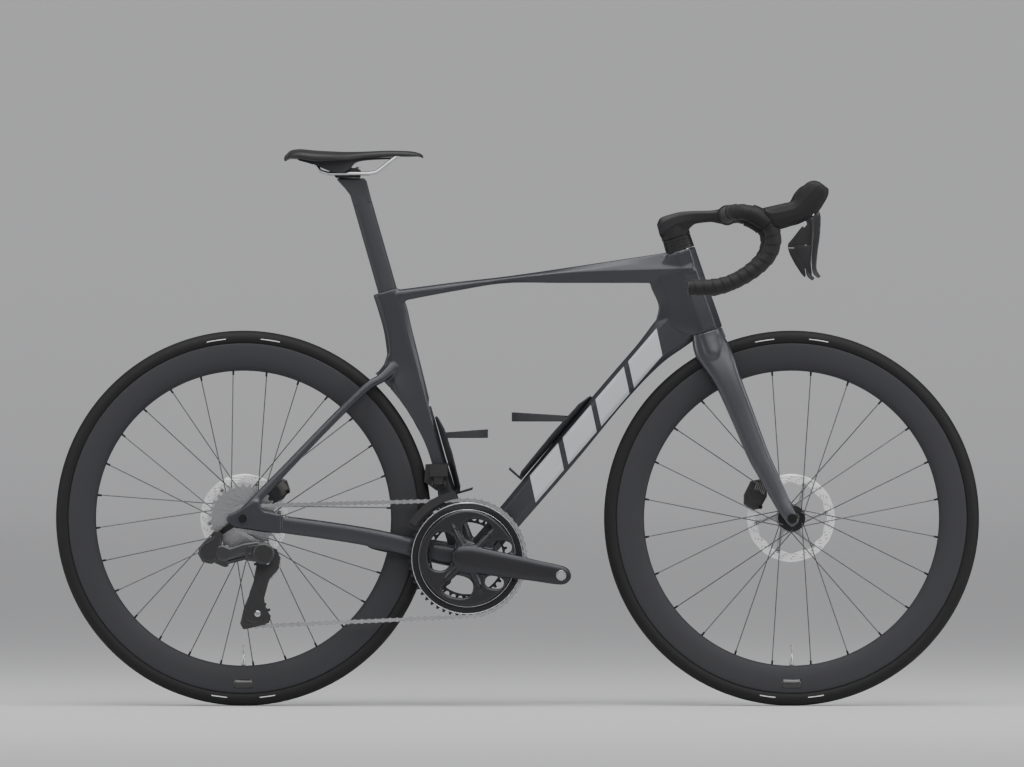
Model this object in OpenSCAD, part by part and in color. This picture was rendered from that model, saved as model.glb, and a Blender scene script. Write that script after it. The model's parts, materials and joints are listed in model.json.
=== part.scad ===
// Road bicycle with disc brakes, electronic shifting and a two by twelve drivetrain.
// X points forward, Y to the left of the rider, Z up. The ground is Z = 0 and the origin
// is midway between the two tyre contacts. The chain runs on the -Y side.

/* [Wheels] */
// Outer diameter of an inflated tyre
tyre_od = 680; // [640:1:820]
// Width of an inflated tyre
tyre_w = 28; // [23:1:32]
// Depth of the rim from its edge to its spoke bed
rim_depth = 50; // [25:1:60]
// Spokes in the front wheel
front_spoke_count = 24; // [16:4:32]
// Spokes in the rear wheel
rear_spoke_count = 28; // [20:4:32]
// Outer diameter of a brake rotor
rotor_d = 160; // [140:1:180]

/* [Frame] */
// Distance between the wheel axles
wheelbase = 993; // [960:1:1200]
// Length from the crank axis to the rear axle
chainstay = 412; // [400:1:500]
// Height of the rear axle above the crank axis
bb_drop = 72; // [60:1:85]
// Steering axis angle from the ground
head_angle = 72.3; // [70:0.1:74]
// Seat tube angle from the ground
seat_angle = 74; // [72:0.1:76]
// Length of the seat tube along its axis
seat_tube_len = 504; // [440:1:610]
// Length of the head tube
head_tube_len = 155; // [110:1:190]
// Distance from the front axle up to the fork crown, along the steering axis
fork_len = 367; // [360:1:440]
// Forward offset of the front axle from the steering axis
fork_offset = 43; // [38:1:52]

/* [Cockpit] */
// Height of the spacers under the stem
spacer_h = 24; // [10:1:35]
// Length of the stem
stem_len = 99; // [80:1:120]
// Width of the handlebar between drop centres
bar_w = 410; // [360:1:460]
// Forward reach of the handlebar
bar_reach = 79; // [70:1:95]
// Drop of the handlebar
bar_drop = 133; // [115:1:145]

/* [Saddle and post] */
// Length of the saddle
saddle_len = 252; // [220:1:305]
// Width of the saddle
saddle_w = 142; // [130:1:160]
// Depth of the seatpost section
post_depth = 35; // [28:1:38]
// Width of the seatpost section
post_w = 21; // [18:1:24]
// Length of seatpost shown above the seat tube
post_exposed = 186; // [120:1:240]
// Length of seatpost inside the seat tube
post_inside = 139; // [100:1:150]

/* [Drivetrain] */
// Length of a crank arm between its axes
crank_len = 172.5; // [165:0.5:180]
// Teeth on the large chainring
large_ring_t = 52; // [48:1:54]
// Teeth on the small chainring
small_ring_t = 36; // [34:1:39]
// Angle of the right crank below the horizontal
crank_angle = 10.2; // [0:0.1:30]

/* [Hidden] */
$fn = 48;

frame_grey = "#3c3d42";
fork_grey = "#55565d";
black = "#1b1b1d";
dark = "#2b2b2e";
silver = "#b9babd";
steel = "#8e9094";

// Clearances: a running fit on a shaft, a gap between fixed pieces, and a gap between moving ones
run = 0.05;
fit = 0.15;
gap = 0.5;

// Places in the side plane, as [x, z]
wheel_r = tyre_od / 2;
rear_axle = [-wheelbase / 2, wheel_r];
front_axle = [wheelbase / 2, wheel_r];
bb = [rear_axle.x + sqrt(chainstay * chainstay - bb_drop * bb_drop), rear_axle.y - bb_drop];

function polar(r, a) = r * [cos(a), sin(a)];
function turned(v, a) = [v.x * cos(a) - v.y * sin(a), v.x * sin(a) + v.y * cos(a)];
function angle_of(v) = atan2(v.y, v.x);
function at(p, y = 0) = [p.x, y, p.y];

// Frames of reference in the side plane: local x is forward of the axis, local y is up along it
steer_foot = front_axle - fork_offset * [sin(head_angle), cos(head_angle)];
steer_tilt = 90 - head_angle;
seat_tilt = 90 - seat_angle;
function steer_at(x, up) = steer_foot + turned([x, up], steer_tilt);
function seat_at(x, up) = bb + turned([x, up], seat_tilt);

// Axle and hub sizes
axle_r = 6;
axle_hole_r = axle_r + run;
rear_old = 142;
front_old = 100;
rear_rotor_y = 56;
front_rotor_y = 38;
rotor_t = 1.8;

// Steering sizes, measured up the steering axis
crown_up = fork_len;
head_low = crown_up + 1;
head_high = head_low + head_tube_len;
spacer_low = head_high + gap;
stem_low = spacer_low + spacer_h;
stem_h = 43;
steerer_r = 14.3;
steerer_hole_r = steerer_r + run;
low_bearing_r = 24.5;
high_bearing_r = 20.5;
bearing_h = 7;
head_low_r = 29;
head_high_r = 25;
clamp_up = stem_low + 11;
bar_centre = steer_at(stem_len, clamp_up);

// Bottom bracket sizes
shell_r = 25;
shell_w = 86;
shell_bore_r = 20.5;
spindle_r = 12;
arm_inner_y = 59;
arm_t = 14;
large_ring_y = -48;
small_ring_y = -41;
ring_t = 2;

// Chain and sprockets
chain_pitch = 12.7;
roller_r = 3.85;
roller_w = 2.3;
plate_r = 4.2;
plate_t = 0.6;
inner_plate_y = 1.35;
outer_plate_y = 2.05;
tooth_h = 1.6;
cog_teeth = [11, 12, 13, 14, 15, 16, 17, 19, 21, 24, 27, 30];
cog_pitch = 3.5;
cog_t = 1.6;
first_cog_y = -64.5;
// Pitches that a straight run stays in line with each sprocket before it leans across
straight_hold = 3;
pulley_t = 11;
freehub_r = 17.2;
function pitch_r(teeth) = chain_pitch / (2 * sin(180 / teeth));

// Rear derailleur: a four bar linkage whose pins lean 30 degrees from upright
link_len = 50;
link_rest = -26;
pin_lean = 30;
hanger_bolt = rear_axle + [-44.5, -33];
b_pin = rear_axle + [-31.5, -68];
b_pin_y = -75;
pin_axis = [0, sin(pin_lean), cos(pin_lean)];
link_side = [0, cos(pin_lean), -sin(pin_lean)];
link_vec = link_len * (cos(link_rest) * [1, 0, 0] + sin(link_rest) * link_side);
link_gap = 15;
p_pin = at(b_pin, b_pin_y) + link_vec;
cage_pivot = [p_pin.x, p_pin.z] + [25, -6];
pulley_y = first_cog_y;
cage_guide = [6, -14];
cage_tension = [-8, -109];

// Chain path: cog, ring, tension pulley and guide pulley, with the way each one turns
function path_circles(turn) = [
    [rear_axle, pitch_r(cog_teeth[0]), 1, cog_teeth[0], first_cog_y],
    [bb, pitch_r(large_ring_t), 1, large_ring_t, large_ring_y],
    [cage_pivot + turned(cage_tension, turn), pitch_r(pulley_t), 1, pulley_t, pulley_y],
    [cage_pivot + turned(cage_guide, turn), pitch_r(pulley_t), -1, pulley_t, pulley_y]
];
function heading(a, b) = angle_of(b[0] - a[0])
    - asin((a[2] * a[1] - b[2] * b[1]) / norm(b[0] - a[0]));
function touch(c, way) = c[0] + c[2] * c[1] * [-sin(way), cos(way)];
function wrap(c, way_in, way_out) = let (t = c[2] * (way_in - way_out)) t - 360 * floor(t / 360);
// One entry a circle: the straight run to the next one, then the wrap round that one
function path_legs(cs) = [for (i = [0:3])
    let (
        a = cs[i],
        b = cs[(i + 1) % 4],
        c = cs[(i + 2) % 4],
        way = heading(a, b),
        next = heading(b, c)
    )
    [norm(touch(b, way) - touch(a, way)) / chain_pitch, wrap(b, way, next) / (360 / b[3]), way]];
function total(v, i = 0) = i == len(v) ? 0 : v[i] + total(v, i + 1);
function path_pitches(turn) = total([for (leg = path_legs(path_circles(turn))) leg[0] + leg[1]]);
chain_links = 2 * round(path_pitches(0) / 2);
function solve_cage(low, high, tries) = let (mid = (low + high) / 2)
    tries == 0 ? mid
    : (path_pitches(mid) - chain_links) * (path_pitches(low) - chain_links) > 0
        ? solve_cage(mid, high, tries - 1) : solve_cage(low, mid, tries - 1);
cage_turn = solve_cage(-14, 14, 24);
guide = cage_pivot + turned(cage_guide, cage_turn);
tension = cage_pivot + turned(cage_tension, cage_turn);
circles = path_circles(cage_turn);
legs = path_legs(circles);
leg_starts = [for (i = [0:3]) total([for (j = [0:1:i - 1]) legs[j][0] + legs[j][1]])];
function leg_of(s, i = 3) = s >= leg_starts[i] || i == 0 ? i : leg_of(s, i - 1);
// Place of the roller s pitches along the chain, as [x, y, z]
function roller_at(s) = let (
        i = leg_of(s),
        a = circles[i],
        b = circles[(i + 1) % 4],
        way = legs[i][2],
        run_on = s - leg_starts[i],
        hold = min(straight_hold, legs[i][0] / 2 - 0.5),
        part = min(1, max(0, (run_on - hold) / (legs[i][0] - 2 * hold)))
    )
    run_on < legs[i][0]
        ? at(touch(a, way) + polar(run_on * chain_pitch, way), a[4] + part * (b[4] - a[4]))
        : at(b[0] + polar(b[1], way + b[2] * (90 - (run_on - legs[i][0]) * 360 / b[3])), b[4]);
// Angle of the first roller that lies on the circle after leg i
function first_tooth(i) = let (s = ceil(leg_starts[i] + legs[i][0]), p = roller_at(s),
        c = circles[(i + 1) % 4][0])
    atan2(p.z - c.y, p.x - c.x);

// Brakes
pad_gap = 0.45;
pad_t = 2;
pad_mid_r = 73;
front_pad = front_axle + polar(pad_mid_r, 147);
rear_pad = rear_axle + polar(pad_mid_r, 38);

// Saddle and seatpost places
post_x = -5.5;
post_low = seat_tube_len - post_inside;
post_high = seat_tube_len + post_exposed;
head_r = 13;
post_head = seat_at(post_x - 15, post_high + 20);
rail_z = post_head.y + 19.5;
rail_y = 22;
rail_r = 3.5;
saddle_tail = post_head + [-116.5, 0];

// Lever places, from the centre of the handlebar clamp
hood_y = bar_w / 2;
lever_pivot = bar_centre + [bar_reach + 70.5, -2];

// ---------- helpers ----------

// Extrudes an outline drawn in the side plane from y0 to y1
module side_plate(y0, y1) {
    translate([0, y1, 0]) rotate([90, 0, 0]) linear_extrude(y1 - y0) children();
}

// Cylinder along Y at a place in the side plane
module cross_rod(p, y0, y1, r) {
    translate(at(p, y0)) rotate([-90, 0, 0]) cylinder(h = y1 - y0, r = r);
}

module cross_ring(p, y0, y1, r, bore) {
    difference() {
        cross_rod(p, y0, y1, r);
        cross_rod(p, y0 - 1, y1 + 1, bore);
    }
}

// Cylinder between two points
module rod(p, q, r) {
    v = q - p;
    translate(p) rotate([0, acos(v.z / norm(v)), atan2(v.y, v.x)]) cylinder(h = norm(v), r = r);
}

module on_steerer() {
    translate(at(steer_foot)) rotate([0, -steer_tilt, 0]) children();
}

module on_seat_tube() {
    translate(at(bb)) rotate([0, -seat_tilt, 0]) children();
}

// Both sides of the bicycle
module both_sides() {
    children();
    mirror([0, 1, 0]) children();
}

module for_side(side) {
    if (side > 0) children(); else mirror([0, 1, 0]) children();
}

// Swept round tube along 3D points, its ring carried along without twist
function unit(v) = v / norm(v);
function tangent(p, i) = unit(p[min(i + 1, len(p) - 1)] - p[max(i - 1, 0)]);
function carried(p, start, i = 0) = let (
        t = tangent(p, i),
        n = unit(start - (start * t) * t)
    )
    i == len(p) - 1 ? [n] : concat([n], carried(p, n, i + 1));
module swept(p, r, start = [0, 0, 1], sides = 10) {
    up = carried(p, start);
    rings = [for (i = [0:len(p) - 1], k = [0:sides - 1])
        let (side = cross(tangent(p, i), up[i]), a = 360 * k / sides)
        p[i] + r * (cos(a) * up[i] + sin(a) * side)];
    last = len(p) - 1;
    polyhedron(rings, concat(
        [[for (k = [0:sides - 1]) k]],
        [for (i = [0:last - 1], k = [0:sides - 1])
            let (a = i * sides + k, b = i * sides + (k + 1) % sides)
            [a, a + sides, b + sides, b]],
        [[for (k = [sides - 1:-1:0]) last * sides + k]]));
}

// Smooth curve through chosen points
function curve_point(a, b, c, d, t) = 0.5 * (2 * b + (c - a) * t + (2 * a - 5 * b + 4 * c - d) * t * t
    + (3 * b - a - 3 * c + d) * t * t * t);
function smooth(p, steps) = concat([for (i = [0:len(p) - 2], k = [0:steps - 1])
    curve_point(p[max(i - 1, 0)], p[i], p[i + 1], p[min(i + 2, len(p) - 1)], k / steps)],
    [p[len(p) - 1]]);

// ---------- frame ----------

tube_w = 48;
seat_tube_w = 31;
down_low = bb + [6, -5];
down_high = steer_at(-24, crown_up + 50);
down_way = angle_of(down_high - down_low);
down_len = norm(down_high - down_low);
function down_at(x, along) = down_low + turned([x, along], down_way - 90);
top_rear = seat_at(4, seat_tube_len - 14);
top_front = steer_at(-28, head_high - 32);
top_way = angle_of(top_front - top_rear);
top_side = polar(1, top_way + 90);
top_mid = top_rear + 0.4 * (top_front - top_rear) + 7 * top_side;
down_tube_depth = 50;
tyre_gap = 15;

module seat_tube_outline() {
    polygon([
        seat_at(-24, 0), seat_at(-22, 190), seat_at(-22, 216), seat_at(-51, 318), seat_at(-50, 337),
        seat_at(-37, 386), seat_at(-32, 402), seat_at(-33, seat_tube_len + 6),
        seat_at(13, seat_tube_len), seat_at(20, seat_tube_len - 32), seat_at(14, 318),
        seat_at(11.5, 170), seat_at(12, 110), seat_at(22, 0)
    ]);
}

module front_triangle() {
    color(frame_grey) difference() {
        union() {
            side_plate(-seat_tube_w / 2, seat_tube_w / 2) seat_tube_outline();
            cross_rod(bb, -shell_w / 2, shell_w / 2, shell_r);
            // Down tube, then its flare into the head tube
            translate(at(down_low)) rotate([0, 90 - down_way, 0])
                linear_extrude(down_len - 30) rounded_section(down_tube_depth, tube_w);
            side_plate(-20, 20) polygon([
                down_at(-24, down_len - 190), down_at(-26, down_len - 20), steer_at(0, head_low + 90),
                steer_at(0, head_low + 4), steer_at(-22, head_low + 4), down_at(45, down_len - 54),
                down_at(33, down_len - 88), down_at(25, down_len - 150)
            ]);
            // Top tube, slim at the back and deep at the head
            side_plate(-18, 18) polygon([
                top_rear + 11 * top_side, top_mid + 7.5 * top_side, top_front + 27 * top_side,
                top_front - 27 * top_side, top_mid - 7.5 * top_side, top_rear - 11 * top_side
            ]);
            // Web behind the head tube
            side_plate(-20, 20) polygon([
                steer_at(0, head_high - 4), steer_at(-24, head_high - 4), steer_at(-68, head_high - 62),
                steer_at(-72, head_high - 124), steer_at(-26, head_low + 6), steer_at(0, head_low + 6)
            ]);
            on_steerer() translate([0, 0, head_low])
                cylinder(h = head_tube_len, r1 = head_low_r, r2 = head_high_r);
        }
        // Head tube bore and the seats of its bearings
        on_steerer() translate([0, 0, head_low - 1]) cylinder(h = head_tube_len + 2, r = 17);
        on_steerer() translate([0, 0, head_low - 10]) cylinder(h = 10 + bearing_h, r = low_bearing_r + run);
        on_steerer() translate([0, 0, head_high - bearing_h])
            cylinder(h = 10 + bearing_h, r = high_bearing_r + run);
        // Everything in front of the head tube's ends
        on_steerer() translate([-50, -50, head_low - 40]) cube([100, 100, 40]);
        on_steerer() translate([-36, -50, head_high]) cube([80, 100, 40]);
        // Bottom bracket bore, seatpost socket, down tube hollow and room for the tyre
        cross_rod(bb, -60, 60, shell_bore_r);
        on_seat_tube() translate([post_x, 0, post_low - 50])
            post_section(post_inside + 100, fit);
        rod(at(down_at(0, 12)), at(down_at(0, down_len - 20)), 18);
        cross_rod(rear_axle, -60, 60, wheel_r + tyre_gap);
    }
}

// Section with round ends: depth in the side plane, width along Y
module rounded_section(depth, width) {
    flat = depth - width;
    square([flat, width], center = true);
    for (side = [-1, 1]) translate([side * flat / 2, 0]) circle(d = width);
}

// Seatpost of a given length, with room all round
module post_section(len, room = 0) {
    linear_extrude(len) rounded_section(post_depth + 2 * room, post_w + 2 * room);
}

stay_out_y = 80;
dropout_y = rear_old / 2;
ring_side = bb + [-106, 22];
// Outer shells of the left chainstay and seatstay, grown by some room
module stay_shells(room = 0) {
    hull() {
        side_plate(63 - room, 77 + room) polygon([
            rear_axle + [50, 4 + room], rear_axle + [58, 3 + room],
            rear_axle + [58, -31 - room], rear_axle + [50, -29 - room]
        ]);
        side_plate(20 - room, 37 + room) polygon([
            ring_side + [0, 14 + room], ring_side + [6, 14 + room],
            ring_side + [6, -20 - room], ring_side + [0, -18 - room]
        ]);
    }
    hull() {
        side_plate(dropout_y - room, stay_out_y + room) polygon([
            rear_axle + [-4, 6], rear_axle + [10, 24 + room], rear_axle + [20 + room, 14], rear_axle + [6, 4 - room]
        ]);
        side_plate(21 - room, 33 + room) polygon([
            seat_at(-80, 348), seat_at(-72, 358 + room), seat_at(-62, 350), seat_at(-70, 338 - room)
        ]);
    }
}

module rear_stays() {
    web_low = seat_at(-52, 317);
    color(frame_grey) difference() {
        union() {
            both_sides() {
                // Dropout plate that carries the axle
                side_plate(dropout_y, stay_out_y) polygon([
                    rear_axle + [-30, 4], rear_axle + [-24, 12], rear_axle + [14, 20],
                    rear_axle + [40, 10], rear_axle + [56, 2], rear_axle + [56, -30],
                    rear_axle + [10, -20], rear_axle + [-14, -18], rear_axle + [-28, -8]
                ]);
                stay_shells();
                side_plate(20, 37) polygon([
                    ring_side + [4, 14], bb + [-20, 22], bb + [-20, -18], ring_side + [4, -19]
                ]);
            }
            // Bridge that joins the seat stays to the seat tube
            side_plate(-33, 33) polygon([
                seat_at(-80, 348), seat_at(-62, 366), seat_at(-34, 398), seat_at(-34, 322), web_low,
                seat_at(-70, 338)
            ]);
        }
        cross_rod(rear_axle, -90, 90, axle_hole_r);
        cross_rod(rear_axle, -dropout_y, dropout_y, 20);
        cross_rod(rear_axle, -20, 20, wheel_r + tyre_gap);
        side_plate(-seat_tube_w / 2 - run, seat_tube_w / 2 + run) seat_tube_outline();
        cross_rod(bb, -60, 60, shell_r + run);
        // Room for the chain where it leaves the cassette
        side_plate(-68.5, -55) polygon([rear_axle + [6, 10], rear_axle + [64, 18], rear_axle + [64, 44], rear_axle + [6, 44]]);
    }
}

module derailleur_hanger() {
    color(dark) difference() {
        side_plate(-stay_out_y - 5, -stay_out_y - run) hull() {
            translate(rear_axle) circle(r = 12);
            translate(hanger_bolt) circle(r = 10);
        }
        cross_rod(rear_axle, -90, -70, axle_hole_r);
        cross_rod(hanger_bolt, -90, -70, 5);
    }
}

module bottom_bracket() {
    color(dark) for (side = [-1, 1]) for_side(side) {
        cross_ring(bb, shell_w / 2 - bearing_h, shell_w / 2, shell_bore_r - run, spindle_r + run);
        cross_ring(bb, shell_w / 2 + run, shell_w / 2 + 2, 22, spindle_r + run);
    }
}

module bearing(up, r) {
    translate([0, 0, up]) difference() {
        cylinder(h = bearing_h - 2 * run, r = r);
        translate([0, 0, -1]) cylinder(h = bearing_h + 2, r = steerer_hole_r);
    }
}

module headset_bearings() {
    color(steel) on_steerer() {
        bearing(head_low + run, low_bearing_r);
        bearing(head_high - bearing_h + run, high_bearing_r);
    }
}

module rear_thru_axle() {
    color(black) difference() {
        union() {
            cross_rod(rear_axle, -stay_out_y - 6, stay_out_y + 4, axle_r);
            cross_rod(rear_axle, stay_out_y + run, stay_out_y + 4, 9);
        }
        cross_rod(rear_axle, stay_out_y, stay_out_y + 10, 3);
    }
}

module front_thru_axle() {
    color(black) difference() {
        union() {
            cross_rod(front_axle, -front_old / 2 - 11, front_old / 2 + 14, axle_r);
            cross_rod(front_axle, front_old / 2 + 11 + run, front_old / 2 + 14, 8.5);
        }
        cross_rod(front_axle, front_old / 2 + 6, front_old / 2 + 20, 3);
    }
}

// Bottle cage on a tube that leans by tilt: a base strip, a lip under the bottle, and hoops cut
// level round the bottle. side is 1 when the bottle is in front of the tube and -1 above it
bottle_r = 37.4;
cage_wall = 3;
cage_base = 5;
module bottle_cage(foot, tilt, side, face_x, low, high, hoops) {
    way = turned([0, 1], tilt);
    middle = foot + turned([side * (face_x + cage_base + bottle_r), 0], tilt);
    base_t = cage_base + cage_wall;
    translate(at(foot)) rotate([0, -tilt, 0]) {
        translate([side * (face_x + run + base_t / 2), 0, (low + high) / 2])
            cube([base_t, 20, high - low], center = true);
        translate([side * (face_x + run + 15), 0, low]) cube([30, 28, 4], center = true);
    }
    intersection() {
        difference() {
            rod(at(middle + low * way), at(middle + high * way), bottle_r + cage_wall);
            rod(at(middle + (low - 60) * way), at(middle + (high + 60) * way), bottle_r);
        }
        union() for (hoop = hoops)
            translate([middle.x + way.x * hoop[0] - 120, -60, middle.y + way.y * hoop[0]])
                cube([240, 120, hoop[1]]);
    }
}

module seat_tube_bottle_cage() {
    color(dark) bottle_cage(bb, seat_tilt, 1, 13.2, 118, 262, [[125, 8], [200, 14]]);
}

module down_tube_bottle_cage() {
    color(dark) bottle_cage(down_low, down_way - 90, -1, 25.2, 172, 368, [[190, 8], [262, 14]]);
}

// ---------- steering ----------

module fork() {
    color(fork_grey) difference() {
        union() {
            on_steerer() {
                translate([0, 0, crown_up - 2]) cylinder(h = stem_low + stem_h - 2 - crown_up, r = steerer_r);
                translate([0, 0, crown_up - 14]) cylinder(h = 14, r = head_low_r);
            }
            both_sides() {
                hull() {
                    on_steerer() translate([0, 0, crown_up - 13]) cylinder(h = 6, r = 27, $fn = 32);
                    fork_slab(290, 18, 52, 18, 31);
                }
                fork_blade();
            }
        }
        on_steerer() translate([0, 0, crown_up - 60]) cylinder(h = 400, r = 11.5);
        cross_rod(front_axle, -19, 19, wheel_r + 9);
        cross_rod(front_axle, -80, 80, axle_hole_r);
        both_sides() side_plate(20, front_old / 2) translate(front_axle) circle(r = 22);
    }
}

module fork_blade(room = 0) {
    hull() {
        fork_slab(325, 15, 48 + 2 * room, 14 + 2 * room, 28);
        fork_slab(-8, 43, 25 + 2 * room, 11 + 2 * room, front_old / 2 + 5.6);
    }
}

// Oval slice of a fork blade: height up the axis, place forward, depth, width and place sideways
module fork_slab(up, x, depth, width, y) {
    translate([0, y, 0]) on_steerer() translate([x, 0, up]) linear_extrude(1)
        scale([depth, width]) circle(d = 1, $fn = 32);
}

module stem() {
    boss_r = 21;
    color(dark) difference() {
        union() {
            on_steerer() translate([0, 0, stem_low]) cylinder(h = stem_h, r = boss_r);
            cross_rod(bar_centre, -23, 23, boss_r);
            side_plate(-18, 18) polygon([
                steer_at(0, stem_low + 2), steer_at(stem_len - 24, clamp_up - 17),
                steer_at(stem_len, clamp_up - 19), steer_at(stem_len, clamp_up + 19),
                steer_at(stem_len - 40, clamp_up + 17), steer_at(0, stem_low + stem_h - 1)
            ]);
        }
        on_steerer() translate([0, 0, stem_low - 10]) cylinder(h = stem_h + 40, r = steerer_hole_r);
        cross_rod(bar_centre, -40, 40, bar_clamp_r + run);
    }
}

module headset_spacers() {
    color(dark) on_steerer() for (k = [0:3])
        translate([0, 0, spacer_low + k * spacer_h / 4]) difference() {
            cylinder(h = spacer_h / 4 - fit, r = 21);
            translate([0, 0, -1]) cylinder(h = spacer_h, r = steerer_hole_r);
        }
}

bar_clamp_r = 15.9;
bar_r = 12;
tape_r = 15;
// Shape of one half of the bar: forward as a share of reach, sideways in mm from the drop
// plane, and height as a share of drop
bar_shape = [
    [0, -150, 0], [0, -90, 0], [0.03, -36, 0.01], [0.18, -10, 0.02], [0.42, -1, 0.01], [0.68, 0, -0.05],
    [0.91, 0, -0.16], [1, 0, -0.34], [0.92, 0, -0.53], [0.70, 0, -0.69], [0.38, 0, -0.83],
    [0, 0, -0.94], [-0.38, 0, -0.99], [-0.92, 0, -1]
];
bar_path = smooth([for (p = bar_shape)
    [bar_centre.x + p.x * bar_reach, bar_w / 2 + p.y, bar_centre.y + p.z * bar_drop]], 2);

module handlebar() {
    color(dark) {
        cross_rod(bar_centre, -bar_path[0].y, bar_path[0].y, bar_clamp_r);
        both_sides() swept(bar_path, bar_r);
    }
}

module bar_tape() {
    taped = [for (i = [2:len(bar_path) - 1]) bar_path[i]];
    color(black) both_sides() difference() {
        swept(taped, tape_r);
        swept(concat([taped[0] - [0, 5, 0]], taped, [taped[len(taped) - 1] - [5, 0, 0]]), bar_r + fit);
    }
}

hood_w = 34;
lever_slot_w = 15;
module hood_outline() {
    polygon([for (p = [
        [60, 12], [74, 13], [94, 18], [113, 21.5], [119, 26], [124, 36.5], [133, 49], [143.5, 58],
        [151, 59.5], [164, 55], [175, 50], [180, 43], [177.5, 34], [169, 17], [160, 3], [150, -8],
        [140, -13], [111, -19], [99, -24], [92, -31], [84, -30], [76, -14], [68, 2]
    ]) [bar_centre.x + bar_reach - 79 + p.x, bar_centre.y + p.y]]);
}

module lever_hood(side) {
    color(black) for_side(side) {
        difference() {
            side_plate(hood_y - hood_w / 2, hood_y + hood_w / 2) hood_outline();
            swept([for (i = [6:20]) bar_path[i]], tape_r + fit);
            // Slot that the brake lever swings in
            side_plate(hood_y - lever_slot_w / 2, hood_y + lever_slot_w / 2) translate(lever_pivot)
                polygon([[-24, -34], [-20, 12], [60, 12], [60, -34]]);
        }
        cross_rod(lever_pivot, hood_y - lever_slot_w / 2 - 4, hood_y + lever_slot_w / 2 + 4, 2.5);
    }
}

module right_lever_hood() {
    lever_hood(-1);
}

module left_lever_hood() {
    lever_hood(1);
}

paddle_hinge = lever_pivot + [-5.2, -55];
paddle_pin_r = 0.8;
module on_paddle_hinge(low, high, r) {
    translate(at(paddle_hinge + [0, low], hood_y - 2)) cylinder(h = high - low, r = r);
}

module brake_lever(side) {
    color(black) for_side(side) {
        // Lug between the two paddles, with the pin that they turn on
        side_plate(hood_y - 5, hood_y + 1) translate(lever_pivot)
            polygon([[-7.5, -56.5], [3, -56.5], [3, -53.5], [-7.5, -53.5]]);
        on_paddle_hinge(-9, 9, paddle_pin_r);
        side_plate(hood_y - 6, hood_y + 6) translate(lever_pivot) difference() {
            polygon([
                [-7, 5], [-3, 8], [6, 7], [13, 2], [14, 0], [14, -20], [12, -42], [8, -71], [6.5, -93],
                [9, -102], [15, -110], [11, -115], [3, -111], [-1, -100], [-3, -86], [-2.5, -66],
                [-0.5, -41], [-0.5, -20], [-7, -5]
            ]);
            circle(r = 2.5 + run);
        }
    }
}

module right_brake_lever() {
    brake_lever(-1);
}

module left_brake_lever() {
    brake_lever(1);
}

// Shift paddle behind the lever blade, with a barrel that turns on the lever's pin
module paddle(side, points, low, high) {
    color(dark) for_side(side) difference() {
        union() {
            side_plate(hood_y - 5, hood_y + 1) translate(lever_pivot) polygon(points);
            on_paddle_hinge(low, high, 1.9);
        }
        on_paddle_hinge(-20, 20, paddle_pin_r + run);
    }
}

upper_paddle = [[-7, -16], [-5.2, -18], [-5.2, -53], [-29, -53], [-30, -48], [-16.5, -37], [-11.5, -27]];
lower_paddle = [[-29, -57], [-5.2, -57], [-5.2, -90], [-4, -98], [-6, -99.5], [-14.5, -90], [-24.5, -75.5]];

module right_upshift() {
    paddle(-1, upper_paddle, 2, 36);
}

module right_downshift() {
    paddle(-1, lower_paddle, -34, -2);
}

module left_upshift() {
    paddle(1, upper_paddle, 2, 36);
}

module left_downshift() {
    paddle(1, lower_paddle, -34, -2);
}

// ---------- brakes ----------

// Caliper body over a rotor: an outline turned to the pad's place, slotted for rotor and pads
module caliper(axle, place, rotor_y, turn, mount) {
    low = rotor_y - 13;
    high = rotor_y + 13;
    slot = rotor_t / 2 + pad_gap + pad_t + gap;
    color(dark) difference() {
        union() {
            side_plate(low, high) translate(place) rotate(turn)
                polygon([[-19, -22], [-24, -6], [-20, 22], [-6, 30], [12, 24], [17, 4], [12, -20], [0, -27]]);
            side_plate(rotor_y + rotor_t + 3, high - 1) translate(place) rotate(turn) polygon(mount);
        }
        cross_rod(axle, rotor_y - slot, rotor_y + slot, rotor_d / 2 + 3);
        side_plate(rotor_y - slot, rotor_y + slot) translate(place) rotate(turn) square([26, 22], center = true);
    }
}

module front_caliper() {
    difference() {
        caliper(front_axle, front_pad, front_rotor_y, -18, [[14, -30], [32, -34], [32, 34], [14, 28], [8, 0]]);
        color(dark) fork_blade(run);
    }
}

module rear_caliper() {
    difference() {
        caliper(rear_axle, rear_pad, rear_rotor_y, -52, [[10, -20], [26, -24], [28, 24], [10, 20], [8, 0]]);
        color(dark) stay_shells(run);
    }
}

module pad(place, rotor_y, turn, side) {
    inner = rotor_y + side * (rotor_t / 2 + pad_gap);
    outer = inner + side * pad_t;
    color(steel) side_plate(min(inner, outer), max(inner, outer)) translate(place) rotate(turn)
        square([20, 15], center = true);
}

module front_inner_pad() {
    pad(front_pad, front_rotor_y, -18, -1);
}

module front_outer_pad() {
    pad(front_pad, front_rotor_y, -18, 1);
}

module rear_inner_pad() {
    pad(rear_pad, rear_rotor_y, -52, -1);
}

module rear_outer_pad() {
    pad(rear_pad, rear_rotor_y, -52, 1);
}

module rotor(axle, y) {
    r = rotor_d / 2;
    arms = 6;
    color(silver) side_plate(y - rotor_t / 2, y + rotor_t / 2) translate(axle) difference() {
        union() {
            difference() {
                circle(r = r);
                circle(r = r - 15);
            }
            circle(r = 25);
            for (k = [0:arms - 1]) rotate(360 * k / arms) translate([20, -5]) rotate(12) square([r - 30, 7]);
        }
        circle(r = 17.5);
        for (k = [0:23], row = [0, 1]) rotate(15 * k + 6 * row) translate([r - 11 + 6.5 * row, 0]) circle(r = 2.2);
    }
}

// ---------- wheels ----------

rim_edge_r = wheel_r - 23;
rim_bed_r = rim_edge_r - rim_depth;
rim_w = 26;
hook_t = 2.2;

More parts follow.
